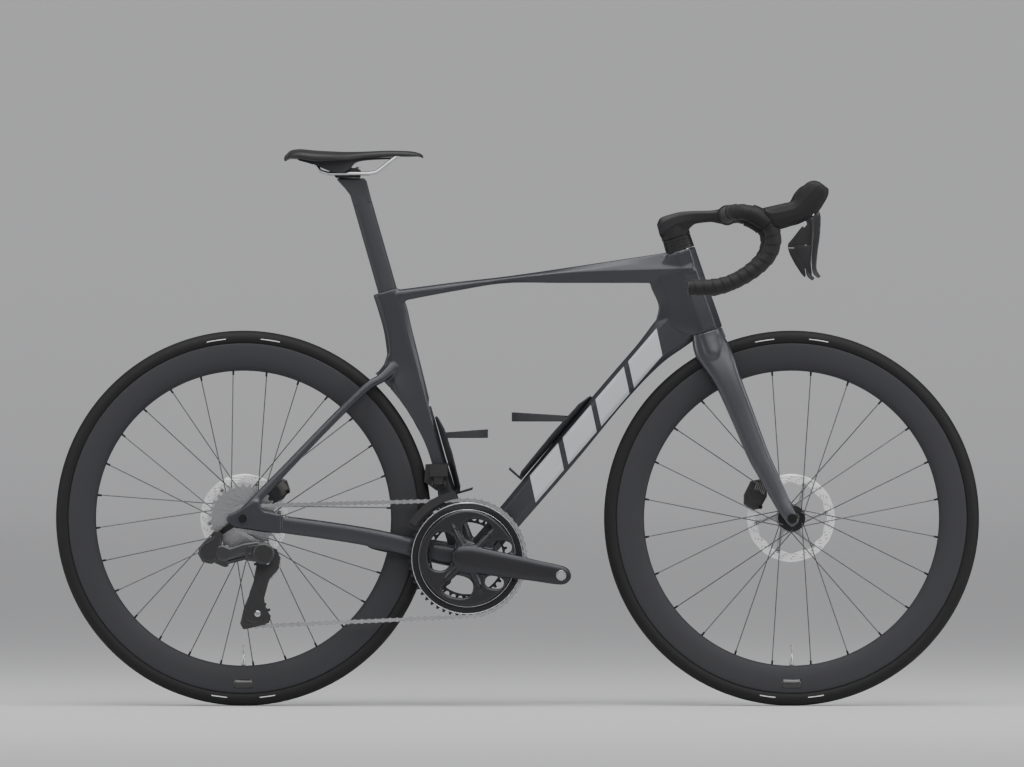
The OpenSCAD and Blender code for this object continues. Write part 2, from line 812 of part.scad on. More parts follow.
module tyre(axle) {
    half = tyre_w / 2;
    middle = wheel_r - half;
    color(black) translate(at(axle)) rotate([90, 0, 0]) rotate_extrude($fn = 96) difference() {
        union() {
            difference() {
                translate([middle, 0]) circle(r = half);
                translate([rim_edge_r - 20, -30]) square([20, 60]);
            }
            translate([rim_edge_r - 5, -rim_w / 2 + hook_t + fit]) square([6, rim_w - 2 * hook_t - 2 * fit]);
        }
        translate([middle, 0]) circle(r = half - 2.6);
        translate([rim_edge_r - 10, -6]) square([14, 12]);
    }
}

module rim(axle, count, turn, flange_low, flange_high, flange_r) {
    half = rim_w / 2;
    color(black) difference() {
        translate(at(axle)) rotate([90, 0, 0]) rotate_extrude($fn = 96) difference() {
            polygon([
                [rim_bed_r, -4], [rim_bed_r + 8, -9], [rim_bed_r + rim_depth * 0.55, -half], [rim_edge_r, -half],
                [rim_edge_r, -half + hook_t], [rim_edge_r - 6, -half + hook_t],
                [rim_edge_r - 6, half - hook_t], [rim_edge_r, half - hook_t],
                [rim_edge_r, half], [rim_bed_r + rim_depth * 0.55, half], [rim_bed_r + 8, 9], [rim_bed_r, 4]
            ]);
            polygon([
                [rim_bed_r + 5, -3], [rim_bed_r + 10, -6.5], [rim_bed_r + rim_depth * 0.55, -half + 2.5],
                [rim_edge_r - 9, -half + 2.5], [rim_edge_r - 9, half - 2.5],
                [rim_bed_r + rim_depth * 0.55, half - 2.5], [rim_bed_r + 10, 6.5], [rim_bed_r + 5, 3]
            ]);
        }
        spoke_lines(axle, count, turn, flange_low, flange_high, flange_r, 1 + fit, 8);
    }
}

// Spokes laced two over: even ones leave the low flange, odd ones the high flange
spoke_r = 1;
flange_half = 1;
module spoke_lines(axle, count, turn, flange_low, flange_high, flange_r, r, past) {
    lead = 58;
    for (k = [0:count - 1]) {
        rim_way = turn + 360 * k / count;
        low_side = k % 2 == 0;
        trailing = floor(k / 2) % 2 == 0;
        hub_way = rim_way + (trailing ? lead : -lead);
        side = (low_side ? -1 : 1) * (trailing ? 1 : -1);
        y = (low_side ? flange_low : flange_high) + side * (flange_half + spoke_r + 3 * fit);
        start = at(axle + polar(flange_r, hub_way), y);
        end = at(axle + polar(rim_bed_r + 6 + past, rim_way), 0);
        rod(start, end, r);
    }
}

module hub(axle, half_w, flange_low, flange_high, flange_r, low_end) {
    color(black) translate(at(axle)) rotate([-90, 0, 0]) rotate_extrude() difference() {
        union() {
            translate([0, low_end]) square([13, half_w - low_end - 12]);
            translate([0, low_end]) square([9.5, half_w - low_end - gap]);
            for (y = [flange_low, flange_high]) {
                translate([0, y - flange_half]) square([flange_r + 4, 2 * flange_half]);
                translate([0, y - 5]) square([flange_r - 7, 10]);
            }
        }
        translate([-1, -200]) square([1 + axle_hole_r, 400]);
    }
}

front_flange_low = -33;
front_flange_high = 20;
front_flange_r = 20;
front_turn = 7.5 + 90;
rear_flange_low = -15;
rear_flange_high = 34;
rear_flange_r = 25;
rear_turn = 90 + 3.9;

module front_tyre() {
    tyre(front_axle);
}

module front_rim() {
    rim(front_axle, front_spoke_count, front_turn, front_flange_low, front_flange_high, front_flange_r);
}

module front_spokes() {
    color(steel) spoke_lines(front_axle, front_spoke_count, front_turn, front_flange_low, front_flange_high,
        front_flange_r, spoke_r, 2);
}

module front_hub() {
    hub(front_axle, front_old / 2, front_flange_low, front_flange_high, front_flange_r, -front_old / 2 + gap);
    color(black) cross_ring(front_axle, front_rotor_y - 6, front_rotor_y + 3, 17.3, 13 - run);
}

module front_rotor() {
    rotor(front_axle, front_rotor_y);
}

module rear_tyre() {
    tyre(rear_axle);
}

module rear_rim() {
    rim(rear_axle, rear_spoke_count, rear_turn, rear_flange_low, rear_flange_high, rear_flange_r);
}

module rear_spokes() {
    color(steel) spoke_lines(rear_axle, rear_spoke_count, rear_turn, rear_flange_low, rear_flange_high,
        rear_flange_r, spoke_r, 2);
}

module rear_hub() {
    hub(rear_axle, rear_old / 2, rear_flange_low, rear_flange_high, rear_flange_r, rear_flange_low - 5);
    color(black) cross_ring(rear_axle, rear_rotor_y - 6, rear_rotor_y + 3, 17.3, 13 - run);
}

module rear_rotor() {
    rotor(rear_axle, rear_rotor_y);
}

// ---------- drivetrain ----------

// Sprocket blank with a roller seat cut at each pitch and eased towards the tooth tips, the
// first one at angle phase
module sprocket(teeth, phase, bore) {
    difference() {
        circle(r = pitch_r(teeth) + tooth_h, $fn = 96);
        for (k = [0:teeth - 1]) rotate(phase + 360 * k / teeth) {
            translate([pitch_r(teeth), 0]) circle(r = roller_r + fit, $fn = 24);
            translate([pitch_r(teeth) + 2.8, 0]) circle(r = roller_r + 1.2, $fn = 24);
        }
        circle(r = bore);
    }
}

module cassette() {
    color(silver) {
        for (i = [0:len(cog_teeth) - 1]) {
            y = first_cog_y + i * cog_pitch;
            side_plate(y - cog_t / 2, y + cog_t / 2) translate(rear_axle)
                sprocket(cog_teeth[i], i == 0 ? first_tooth(3) : 0, freehub_r + run);
            if (i > 0) cross_ring(rear_axle, y - cog_pitch + cog_t / 2, y - cog_t / 2, 18, freehub_r + run);
        }
    }
}

module freehub() {
    color(dark) {
        cross_ring(rear_axle, first_cog_y - cog_t / 2 - 0.5, rear_flange_low - 5 - gap, freehub_r, axle_hole_r);
        cross_ring(rear_axle, -rear_old / 2 + gap, first_cog_y - cog_t / 2 - 0.5, 10, axle_hole_r);
    }
}

module crank_frame() {
    translate(at(bb)) rotate([0, crank_angle, 0]) children();
}

module arm_outline(root_r, tip_r) {
    hull() {
        circle(r = root_r);
        translate([crank_len - 70, 0]) circle(r = (root_r + tip_r) / 2);
        translate([crank_len, 0]) circle(r = tip_r);
    }
}

spider_angles = [57.5, 124.5, -124.5, -57.5];
ring_bolt_circle_r = 55;
ring_bolt_r = 4;
module right_crank_arm() {
    color(dark) crank_frame() difference() {
        union() {
            side_plate(-arm_inner_y - arm_t, -arm_inner_y) arm_outline(23, 18);
            // Spider behind the arm, with the chainring bolts
            side_plate(-arm_inner_y - 6, large_ring_y - ring_t / 2 - run) {
                circle(r = 30);
                for (a = spider_angles) rotate(a)
                    polygon([[0, -17], [large_ring_bore_r + 3, -9], [large_ring_bore_r + 3, 9], [0, 17]]);
            }
            for (a = spider_angles)
                cross_rod(polar(ring_bolt_circle_r, a), -arm_inner_y - 1, small_ring_y + 2, ring_bolt_r);
            cross_rod([0, 0], -arm_inner_y - 2, arm_inner_y + arm_t - 6, spindle_r);
        }
        cross_rod([crank_len, 0], -100, -20, 6.55);
        cross_rod([0, 0], -100, 100, 9);
    }
}

module left_crank_arm() {
    color(dark) crank_frame() difference() {
        side_plate(arm_inner_y, arm_inner_y + arm_t) rotate(180) arm_outline(21, 18);
        cross_rod([-crank_len, 0], 20, 100, 6.55);
        cross_rod([0, 0], 20, 100, spindle_r + run);
    }
}

// Chainring with four tabs that the spider bolts pass through
module chainring(teeth, y, bore_r, phase) {
    color(dark) side_plate(y - ring_t / 2, y + ring_t / 2) translate(bb) difference() {
        union() {
            sprocket(teeth, phase, bore_r);
            for (a = spider_angles) rotate(a - crank_angle) {
                translate([ring_bolt_circle_r, 0]) circle(r = 10);
                translate([ring_bolt_circle_r, -9]) square([bore_r + 2 - ring_bolt_circle_r, 18]);
            }
        }
        for (a = spider_angles) rotate(a - crank_angle) translate([ring_bolt_circle_r, 0])
            circle(r = ring_bolt_r + fit);
    }
}

large_ring_bore_r = 84;
module large_chainring() {
    chainring(large_ring_t, large_ring_y, large_ring_bore_r, first_tooth(0));
}

small_ring_bore_r = 65;
module small_chainring() {
    chainring(small_ring_t, small_ring_y, small_ring_bore_r, 0);
}

// One link's plate, drawn along local x from roller to roller
module plate(y) {
    translate([0, y + plate_t / 2, 0]) rotate([90, 0, 0]) linear_extrude(plate_t) {
        circle(r = plate_r, $fn = 24);
        translate([chain_pitch, 0]) circle(r = plate_r, $fn = 24);
        translate([0, -2.9]) square([chain_pitch, 5.8]);
    }
}

module chain_plates() {
    color(silver) for (k = [0:chain_links - 1]) {
        p = roller_at(k);
        q = roller_at((k + 1) % chain_links);
        v = q - p;
        y = k % 2 == 0 ? inner_plate_y : outer_plate_y;
        translate(p) rotate([0, -atan2(v.z, v.x), 0]) rotate([0, 0, asin(v.y / norm(v))]) {
            plate(-y);
            plate(y);
        }
    }
}

module chain_rollers() {
    color(steel) for (k = [0:chain_links - 1]) translate(roller_at(k)) rotate([90, 0, 0]) {
        cylinder(h = roller_w, r = roller_r, center = true, $fn = 24);
        cylinder(h = 5.4, r = 1.7, center = true, $fn = 16);
    }
}

// ---------- rear derailleur ----------

pin_r = 3;
link_t = 12;
ear_t = 4;

// Cylinder along the leaning pins, centred on a point
module pin(p, len, r) {
    rod(p - pin_axis * len / 2, p + pin_axis * len / 2, r);
}

module rd_link(p, thick) {
    difference() {
        hull() {
            pin(p, link_t, thick, $fn = 32);
            pin(p + link_vec, link_t, thick, $fn = 32);
        }
        pin(p, link_t + 10, pin_r + run);
        pin(p + link_vec, link_t + 10, pin_r + run);
    }
}

b_pin_out = at(b_pin, b_pin_y);
b_pin_in = b_pin_out + link_gap * link_side;

// Two ears above and below a pair of pins, and the pins themselves
module pin_ears(p, q, reach, free_pin) {
    for (side = [-1, 1]) translate(side * (link_t / 2 + ear_t / 2 + gap) * pin_axis) hull() {
        pin(p, ear_t, 6, $fn = 32);
        pin(q, ear_t, 6, $fn = 32);
        pin(reach, ear_t, 7, $fn = 32);
    }
    pin(p, link_t + 2 * ear_t, pin_r);
    pin(q, link_t + 2 * ear_t, free_pin ? pin_r - 0.4 : pin_r);
}

module rd_b_knuckle() {
    back = b_pin_out - [20, 0, 0] - 4.6 * link_side;
    color(dark) {
        pin_ears(b_pin_out, b_pin_in, back, false);
        pin(back, link_t + 2 * ear_t - 1, 8.5);
        // Boss round the hanger bolt
        difference() {
            side_plate(-stay_out_y - 20, -stay_out_y - 5 - gap) {
                translate(hanger_bolt) circle(r = 10);
                polygon([
                    hanger_bolt + [-9, 2], hanger_bolt + [9, 0], [back.x + 7, back.z - 8], [back.x - 7, back.z - 8]
                ]);
            }
            cross_rod(hanger_bolt, -120, -60, 5 + run);
        }
        cross_rod(hanger_bolt, -stay_out_y - 23, -stay_out_y, 5 - run);
    }
}

module rd_outer_link() {
    color(dark) rd_link(b_pin_out, 6);
}

module rd_inner_link() {
    color(dark) rd_link(b_pin_in, 5);
}

module rd_p_knuckle() {
    p = b_pin_out + link_vec;
    q = b_pin_in + link_vec;
    color(dark) {
        pin_ears(p, q, p + [17, 0, 0] + 7 * link_side, true);
        cross_rod(cage_pivot, p.y - 2, pulley_y - 7, 13);
        cross_rod(cage_pivot, pulley_y - 8, pulley_y - 3.5, 4);
    }
}

// Pulleys turn between the cage's two plates
cage_plate_t = 1.5;
module rd_cage() {
    outer = pulley_y - 4.6;
    inner = pulley_y + 3.1;
    color(dark) difference() {
        union() {
            side_plate(outer - cage_plate_t, outer) difference() {
                hull() {
                    translate(cage_pivot) circle(r = 15);
                    translate(guide) circle(r = 11);
                }
                translate(cage_pivot) circle(r = 4 + run);
            }
            side_plate(outer - cage_plate_t, outer) cage_arm();
            side_plate(inner, inner + cage_plate_t) cage_arm();
            for (p = [guide, tension]) cross_rod(p, outer - 0.6, inner + cage_plate_t, 2.5);
        }
    }
}

// Plate beside both pulleys, a little longer than the chain's path round the lower one
module cage_arm() {
    translate(cage_pivot) rotate(cage_turn) polygon([
        [18, -15], [15, -37], [2, -62], [-2, -88], [7, -128], [-26, -137], [-33, -138], [-39, -128],
        [-33, -98], [-19, -62], [-12, -15], [-2, -5], [12, -5]
    ]);
}

module pulley(p, phase) {
    color(dark) side_plate(pulley_y - 1, pulley_y + 1) translate(p) sprocket(pulley_t, phase, 2.5 + run);
}

module guide_pulley() {
    pulley(guide, first_tooth(2));
}

module tension_pulley() {
    pulley(tension, first_tooth(1));
}

// ---------- front derailleur ----------

fd_top = bb + [-52, 158];
fd_arm = 22;
fd_y = -32;

module front_derailleur_body() {
    color(dark) difference() {
        union() {
            side_plate(-20, -seat_tube_w / 2 - run) translate(fd_top)
                polygon([[-24, 12], [18, 14], [16, -30], [-4, -36], [-26, -20]]);
            side_plate(-41, -20) translate(fd_top) polygon([[-16, 12], [16, 12], [16, -10], [-16, -10]]);
        }
        translate([fd_top.x - 10, fd_y - 7, fd_top.y - 22]) cube([20, 19, 30]);
        rod(at(fd_top + [-40, 0], fd_y), at(fd_top + [40, 0], fd_y), 2 + run);
    }
}

module fd_link() {
    low = fd_top - [0, fd_arm];
    color(dark) {
        difference() {
            hull() for (p = [fd_top, low]) rod(at(p - [9, 0], fd_y), at(p + [9, 0], fd_y), 5, $fn = 32);
            rod(at(low - [40, 0], fd_y), at(low + [40, 0], fd_y), 2 + run);
        }
        rod(at(fd_top - [16, 0], fd_y), at(fd_top + [16, 0], fd_y), 2);
    }
}

// Cage plates follow the large chainring; a bridge at the tail ties them under the chain
module fd_cage() {
    low = fd_top - [0, fd_arm];
    ring_out = pitch_r(large_ring_t) + 19;
    ring_in = pitch_r(large_ring_t) - 1;
    inner_y = large_ring_y + 4.2;
    outer_y = large_ring_y - 5.4;
    color(steel) {
        for (y = [inner_y, outer_y - 1.2]) side_plate(y, y + 1.2) translate(bb)
            ring_sector(y == inner_y ? ring_in : ring_in + 5.5, ring_out, 100, y == inner_y ? 152 : 148);
        side_plate(outer_y - 1.2, inner_y + 1.2) translate(bb) ring_sector(ring_out - 5, ring_out, 140, 147);
        side_plate(outer_y - 1.2, inner_y + 1.2) translate(bb) ring_sector(ring_out - 2, ring_out, 101, 107);
        // Arms that hold the link's lower pin
        for (x = [-13.5, 10]) difference() {
            translate([low.x + x, fd_y - 6, low.y - 5]) cube([3.5, 10.5, 10]);
            rod(at(low - [40, 0], fd_y), at(low + [40, 0], fd_y), 2 - run);
        }
        rod(at(low - [13, 0], fd_y), at(low + [13, 0], fd_y), 2);
        for (x = [-13.5, 10]) translate([low.x + x, inner_y + 0.6, low.y - 5]) cube([3.5, fd_y - 5 - inner_y - 0.6, 7]);
    }
}

module ring_sector(r0, r1, a0, a1) {
    steps = 10;
    polygon(concat(
        [for (k = [0:steps]) polar(r0, a0 + (a1 - a0) * k / steps)],
        [for (k = [steps:-1:0]) polar(r1, a0 + (a1 - a0) * k / steps)]));
}

// ---------- seatpost and saddle ----------

module seatpost() {
    color(black) difference() {
        union() {
            on_seat_tube() translate([post_x, 0, post_low]) post_section(post_high - post_low);
            side_plate(-10, 10) hull() {
                translate(seat_at(post_x, post_high - 20)) circle(r = post_w / 2);
                translate(post_head) circle(r = head_r);
            }
            cross_rod(post_head, -10, 10, head_r);
        }
        on_seat_tube() translate([post_x, 0, post_low - 1]) linear_extrude(post_inside + 60)
            square([post_depth - 12, post_w - 6], center = true);
    }
}

clamp_front = 26;
clamp_half_w = 28;
module saddle_clamp() {
    color(dark) difference() {
        union() {
            side_plate(-clamp_half_w, clamp_half_w) translate(post_head)
                polygon([[-24, 8], [19, 8], [22, 12], [22, 19], [-26, 19], [-26, 12]]);
            side_plate(-clamp_half_w, clamp_half_w) translate(post_head)
                polygon([[-22, 20], [21, 20], [21, 27], [14, 30], [-14, 30], [-22, 27]]);
            for (x = [-17.5, 17.5]) rod(at(post_head + [x, 7]), at(post_head + [x, 31]), 2.5);
        }
        cross_rod(post_head, -60, 60, head_r + 0.3);
        for (side = [-1, 1]) rod([post_head.x - 60, side * rail_y, rail_z], [post_head.x + 60, side * rail_y, rail_z],
            rail_r + 0.1);
    }
}

// Half widths of the saddle along its length, as shares of its length and width
saddle_plan = [[0, 0.30], [0.03, 0.42], [0.10, 0.49], [0.22, 0.50], [0.34, 0.43], [0.46, 0.31],
    [0.60, 0.19], [0.78, 0.145], [0.93, 0.13], [0.985, 0.09], [1, 0.03]];
// Top and underside of the saddle: share of the length, then height above the post head
saddle_top = [[0, 51], [0.04, 62], [0.11, 65], [0.26, 61.5], [0.42, 60], [0.55, 60.5], [0.70, 63],
    [0.85, 63], [0.96, 59], [1, 51]];
saddle_under = [[0.985, 48], [0.88, 45], [0.83, 49], [0.62, 47.5], [0.50, 40], [0.45, 23], [0.37, 19],
    [0.30, 25], [0.18, 37], [0.04, 43]];

module saddle() {
    color(black) difference() {
        intersection() {
            side_plate(-saddle_w, saddle_w) polygon([for (p = concat(saddle_top, saddle_under))
                saddle_tail + [p.x * saddle_len, p.y]]);
            translate([saddle_tail.x, 0, saddle_tail.y - 20]) linear_extrude(120) polygon(concat(
                [for (p = saddle_plan) [p.x * saddle_len, p.y * saddle_w]],
                [for (i = [len(saddle_plan) - 1:-1:0]) [saddle_plan[i].x * saddle_len, -saddle_plan[i].y * saddle_w]]));
        }
        // Hollow under the shell where the rails and the clamp are
        side_plate(-31, 31) polygon([for (p = [[0.07, 0], [0.10, 47], [0.3, 49], [0.6, 49], [0.62, 0]])
            saddle_tail + [p.x * saddle_len, p.y]]);
        both_sides() swept(rail_path, rail_r + fit, [0, 1, 0]);
    }
}

// Saddle rail from the tail of the shell through the clamp and up into the nose
rail_path = [for (p = [[0.20, 46], [0.225, 36], [0.262, 23.5], [0.315, 19.5], [0.40, 19.5], [0.61, 19.5],
    [0.66, 22], [0.70, 29], [0.745, 38.5], [0.78, 45], [0.83, 54]])
    [saddle_tail.x + p.x * saddle_len, rail_y - 8 * max(0, p.x - 0.61) / 0.22, saddle_tail.y + p.y]];

module saddle_rails() {
    color(silver) both_sides() swept(rail_path, rail_r, [0, 1, 0]);
}

front_triangle();
rear_stays();
derailleur_hanger();
bottom_bracket();
headset_bearings();
rear_thru_axle();
seat_tube_bottle_cage();
down_tube_bottle_cage();
rear_caliper();
front_derailleur_body();
rd_b_knuckle();
chain_plates();
chain_rollers();
fork();
front_thru_axle();
stem();
headset_spacers();
handlebar();
bar_tape();
right_lever_hood();
left_lever_hood();
front_caliper();
front_tyre();
front_rim();
front_spokes();
front_hub();
front_rotor();
rear_tyre();
rear_rim();
rear_spokes();
rear_hub();
rear_rotor();
freehub();
cassette();
right_crank_arm();
large_chainring();
small_chainring();
left_crank_arm();
rd_outer_link();
rd_inner_link();
rd_p_knuckle();
rd_cage();
guide_pulley();
tension_pulley();
fd_link();
fd_cage();
right_brake_lever();
left_brake_lever();
right_upshift();
right_downshift();
left_upshift();
left_downshift();
seatpost();
saddle_clamp();
saddle();
saddle_rails();
front_inner_pad();
front_outer_pad();
rear_inner_pad();
rear_outer_pad();
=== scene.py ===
"""Road bicycle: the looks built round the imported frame.

All shape sizes are millimetres in the row frame: X forward, Y to the rider's left, Z up. Places
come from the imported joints. Meshes are written in metres.
"""

from __future__ import annotations

import json
import logging
import math
from collections.abc import Callable, Iterable, Sequence
from dataclasses import dataclass, replace
from enum import Enum

import bmesh
import bpy
import numpy as np
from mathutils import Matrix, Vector

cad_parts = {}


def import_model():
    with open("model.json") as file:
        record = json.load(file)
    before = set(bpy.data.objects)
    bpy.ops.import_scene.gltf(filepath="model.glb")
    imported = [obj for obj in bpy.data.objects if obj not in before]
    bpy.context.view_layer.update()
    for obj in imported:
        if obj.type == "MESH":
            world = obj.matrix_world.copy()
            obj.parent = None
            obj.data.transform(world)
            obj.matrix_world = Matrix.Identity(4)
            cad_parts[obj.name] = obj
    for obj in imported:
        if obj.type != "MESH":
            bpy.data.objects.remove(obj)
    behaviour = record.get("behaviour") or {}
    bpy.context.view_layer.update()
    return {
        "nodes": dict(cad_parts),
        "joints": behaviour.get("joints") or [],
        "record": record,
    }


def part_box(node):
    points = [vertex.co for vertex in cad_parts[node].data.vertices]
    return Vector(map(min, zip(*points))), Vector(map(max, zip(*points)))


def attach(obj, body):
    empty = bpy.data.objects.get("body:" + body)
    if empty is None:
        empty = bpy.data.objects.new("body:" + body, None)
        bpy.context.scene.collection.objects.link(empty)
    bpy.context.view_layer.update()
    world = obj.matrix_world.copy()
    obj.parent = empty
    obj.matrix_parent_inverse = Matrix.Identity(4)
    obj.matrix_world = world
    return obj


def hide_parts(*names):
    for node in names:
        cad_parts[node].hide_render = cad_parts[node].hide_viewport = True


LOG = logging.getLogger("road_bicycle")
MM = 0.001
Point = tuple[float, float]
Color = tuple[float, float, float]
Mesh = tuple[np.ndarray, list[tuple[int, ...]]]
HEAD_LEAN = 17.7
SHARP_EDGE = 35.0


class Side(Enum):
    """A side of the bicycle, as the sign of Y. The chain runs on the right."""

    RIGHT = -1
    LEFT = 1


BOTH = (Side.RIGHT, Side.LEFT)


# ---------------------------------------------------------------- places


def turned(v: Sequence[float], degrees: float) -> np.ndarray:
    """Turns a side-plane vector by an angle, from X towards Z."""
    c, s = math.cos(math.radians(degrees)), math.sin(math.radians(degrees))
    return np.array((v[0] * c - v[1] * s, v[0] * s + v[1] * c))


def polar(radius: float, degrees: float) -> np.ndarray:
    """A side-plane vector from its length and angle."""
    return turned((radius, 0.0), degrees)


def spread(p: Sequence[float], y: float = 0.0) -> np.ndarray:
    """A side-plane place with its Y added."""
    return np.array((p[0], y, p[1]), float)


@dataclass(frozen=True)
class Layout:
    """Side-plane places of axles, pins and tube lines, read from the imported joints."""

    joints: dict[str, dict]

    @classmethod
    def read(cls, joints: Iterable[dict]) -> Layout:
        """Builds the layout from the frame's joint list."""
        return cls({j["name"]: j for j in joints})

    def at(self, joint: str) -> np.ndarray:
        """Side-plane place of a joint."""
        p = self.joints[joint]["pos_m"]
        return np.array((p[0], p[2])) / MM

    def lean(self, joint: str) -> float:
        """Degrees that a joint's axis leans back from upright."""
        a = self.joints[joint]["axis"]
        return math.degrees(math.atan2(-a[0], a[2]))

    @property
    def rear(self) -> np.ndarray:
        """Rear axle."""
        return self.at("rear_wheel_spin")

    @property
    def front(self) -> np.ndarray:
        """Front axle."""
        return self.at("front_wheel_spin")

    @property
    def crank(self) -> np.ndarray:
        """Bottom bracket axis."""
        return self.at("crank_spin")

    @property
    def lever(self) -> np.ndarray:
        """Brake lever pivot."""
        return self.at("right_brake_pull")

    @property
    def bar(self) -> np.ndarray:
        """Centre of the handlebar clamp."""
        return self.lever - (149.5, -2.0)

    @property
    def wheel_r(self) -> float:
        """Radius of the wheels, which stand on the ground."""
        return float(self.rear[1])

    def steer(self, x: float, up: float) -> np.ndarray:
        """Place ahead of the steering axis, up it from level with the front axle."""
        return self.at("steering_turn") + turned((x, up - 368.0), self.lean("steering_turn"))

    def seat(self, x: float, up: float) -> np.ndarray:
        """Place ahead of the seat axis, up from the bottom bracket."""
        return self.crank + turned((x, up), self.lean("seatpost_height"))

    def down(self, x: float, along: float) -> np.ndarray:
        """Place under the down tube's line, along it from the bottom bracket."""
        foot = self.crank + (6.0, -5.0)
        line = self.steer(-24.0, 417.0) - foot
        return foot + turned((x, along), math.degrees(math.atan2(line[1], line[0])) - 90.0)


# ---------------------------------------------------------------- mesh tools


def new_object(name: str, verts: np.ndarray, faces: Sequence[Sequence[int]], smooth: bool = True) -> bpy.types.Object:
    """Makes a scene object from millimetre points.

    Args:
        name: the piece's name.
        verts: points as an array of rows.
        faces: point indices of each face.
        smooth: whether faces shade smoothly.

    Returns:
        The new object, at the origin.
    """
    mesh = bpy.data.meshes.new(name)
    mesh.from_pydata((np.asarray(verts) * MM).tolist(), [], [tuple(f) for f in faces])
    mesh.validate()
    bm = bmesh.new()
    bm.from_mesh(mesh)
    bmesh.ops.recalc_face_normals(bm, faces=bm.faces)
    bm.to_mesh(mesh)
    bm.free()
    mesh.polygons.foreach_set("use_smooth", [smooth] * len(mesh.polygons))
    obj = bpy.data.objects.new(name, mesh)
    bpy.context.scene.collection.objects.link(obj)
    return obj


def joined(parts: Iterable[Mesh]) -> Mesh:
    """Puts several meshes into one."""
    verts: list[np.ndarray] = []
    faces: list[tuple[int, ...]] = []
    count = 0
    for v, f in parts:
        verts.append(np.asarray(v, float))
        faces += [tuple(i + count for i in face) for face in f]
        count += len(v)
    return np.vstack(verts), faces


def mirrored(mesh: Mesh) -> Mesh:
    """The same mesh on the other side of the bicycle."""
    return mesh[0] * (1.0, -1.0, 1.0), [tuple(reversed(f)) for f in mesh[1]]


def on_side(mesh: Mesh, side: Side) -> Mesh:
    """A mesh drawn on the left, placed on the given side."""
    return mesh if side is Side.LEFT else mirrored(mesh)


def skin(rings: Sequence[np.ndarray], closed: bool = False) -> Mesh:
    """Joins equal rings of points into a tube, with flat ends unless it closes on itself."""
    n, count = len(rings[0]), len(rings)
    faces: list[tuple[int, ...]] = []
    for i in range(count if closed else count - 1):
        a, b = i * n, ((i + 1) % count) * n
        faces += [(a + k, a + (k + 1) % n, b + (k + 1) % n, b + k) for k in range(n)]
    if not closed:
        faces += [tuple(range(n)), tuple((count - 1) * n + k for k in reversed(range(n)))]
    return np.vstack(rings), faces


def eased(rows: Sequence[Sequence[float]], steps: int) -> np.ndarray:
    """Smooth curve through rows of values, with a number of steps between each pair."""
    p = np.asarray(rows, float)
    p = np.vstack((2 * p[0] - p[1], p, 2 * p[-1] - p[-2]))
    out = []
    for i in range(1, len(p) - 2):
        a, b, c, d = p[i - 1], p[i], p[i + 1], p[i + 2]
        for k in range(steps):
            t = k / steps
            out.append(0.5 * (2 * b + (c - a) * t + (2 * a - 5 * b + 4 * c - d) * t * t
                              + (3 * b - a - 3 * c + d) * t**3))
    out.append(p[-2])
    return np.array(out)


def oval(depth: float, width: float, power: float, sides: int) -> np.ndarray:
    """Points round a squared oval: 2 is an ellipse and higher powers are boxier."""
    a = np.linspace(0, 2 * math.pi, sides, endpoint=False)
    c, s = np.cos(a), np.sin(a)
    e = 2.0 / power
    return np.stack((np.sign(c) * np.abs(c) ** e * depth / 2, np.sign(s) * np.abs(s) ** e * width / 2), axis=1)


@dataclass(frozen=True)
class Station:
    """A tube's cross-section: its middle in the side plane, its size, place sideways and boxiness."""

    place: Sequence[float]
    depth: float
    width: float
    y: float = 0.0
    power: float = 2.4


def tube(stations: Sequence[Station], steps: int = 6, sides: int = 40, lean: float | None = None) -> Mesh:
    """Lofts a tube through stations.

    Args:
        stations: cross-sections in order.
        steps: rings between each pair of stations.
        sides: points round a ring.
        lean: angle of the depth direction, or None to keep it square to the tube.

    Returns:
        The closed mesh.
    """
    rows = eased([(*s.place, s.depth, s.width, s.y, s.power) for s in stations], steps)
    way = np.gradient(rows[:, :2], axis=0)
    rings = []
    for row, w in zip(rows, way):
        across = np.array((-w[1], w[0])) / np.hypot(*w) if lean is None else polar(1.0, lean)
        o = oval(row[2], row[3], row[5], sides)
        rings.append(np.stack((row[0] + o[:, 0] * across[0], row[4] + o[:, 1], row[1] + o[:, 0] * across[1]), axis=1))
    return skin(rings)


def swept(path: np.ndarray, radius: float | Callable[[float, np.ndarray], np.ndarray], sides: int = 16,
          closed: bool = False) -> Mesh:
    """Sweeps a round section along 3D points, carrying its frame without twist.

    Args:
        path: points in order.
        radius: one radius, or a function of distance along and angles round that gives radii.
        sides: points round the section.
        closed: whether the path is a loop.

    Returns:
        The mesh.
    """
    way = np.gradient(path, axis=0) if not closed else np.roll(path, -1, 0) - np.roll(path, 1, 0)
    way /= np.linalg.norm(way, axis=1)[:, None]
    up = np.array((0.0, 0.0, 1.0)) if abs(way[0][2]) < 0.9 else np.array((1.0, 0.0, 0.0))
    along = np.concatenate(((0.0,), np.cumsum(np.linalg.norm(np.diff(path, axis=0), axis=1))))
    a = np.linspace(0, 2 * math.pi, sides, endpoint=False)
    rings = []
    for p, t, s in zip(path, way, along):
        up = up - np.dot(up, t) * t
        up /= np.linalg.norm(up)
        side = np.cross(t, up)
        r = radius(s, a) if callable(radius) else np.full(sides, radius)
        rings.append(p + r[:, None] * (np.cos(a)[:, None] * up + np.sin(a)[:, None] * side))
    return skin(rings, closed)


def revolved(profile: Sequence[Point], centre: Sequence[float], segments: int = 96, closed: bool = True) -> Mesh:
    """Turns a profile of (radius, y) points round an axle along Y."""
    rings = []
    for a in np.linspace(0, 2 * math.pi, segments, endpoint=False):
        rings.append(np.array([(centre[0] + r * math.cos(a), y, centre[1] + r * math.sin(a)) for r, y in profile]))
    n = len(profile)
    faces = []
    for i in range(segments):
        a, b = i * n, ((i + 1) % segments) * n
        faces += [(a + k, a + (k + 1) % n, b + (k + 1) % n, b + k) for k in range(n if closed else n - 1)]
    return np.vstack(rings), faces


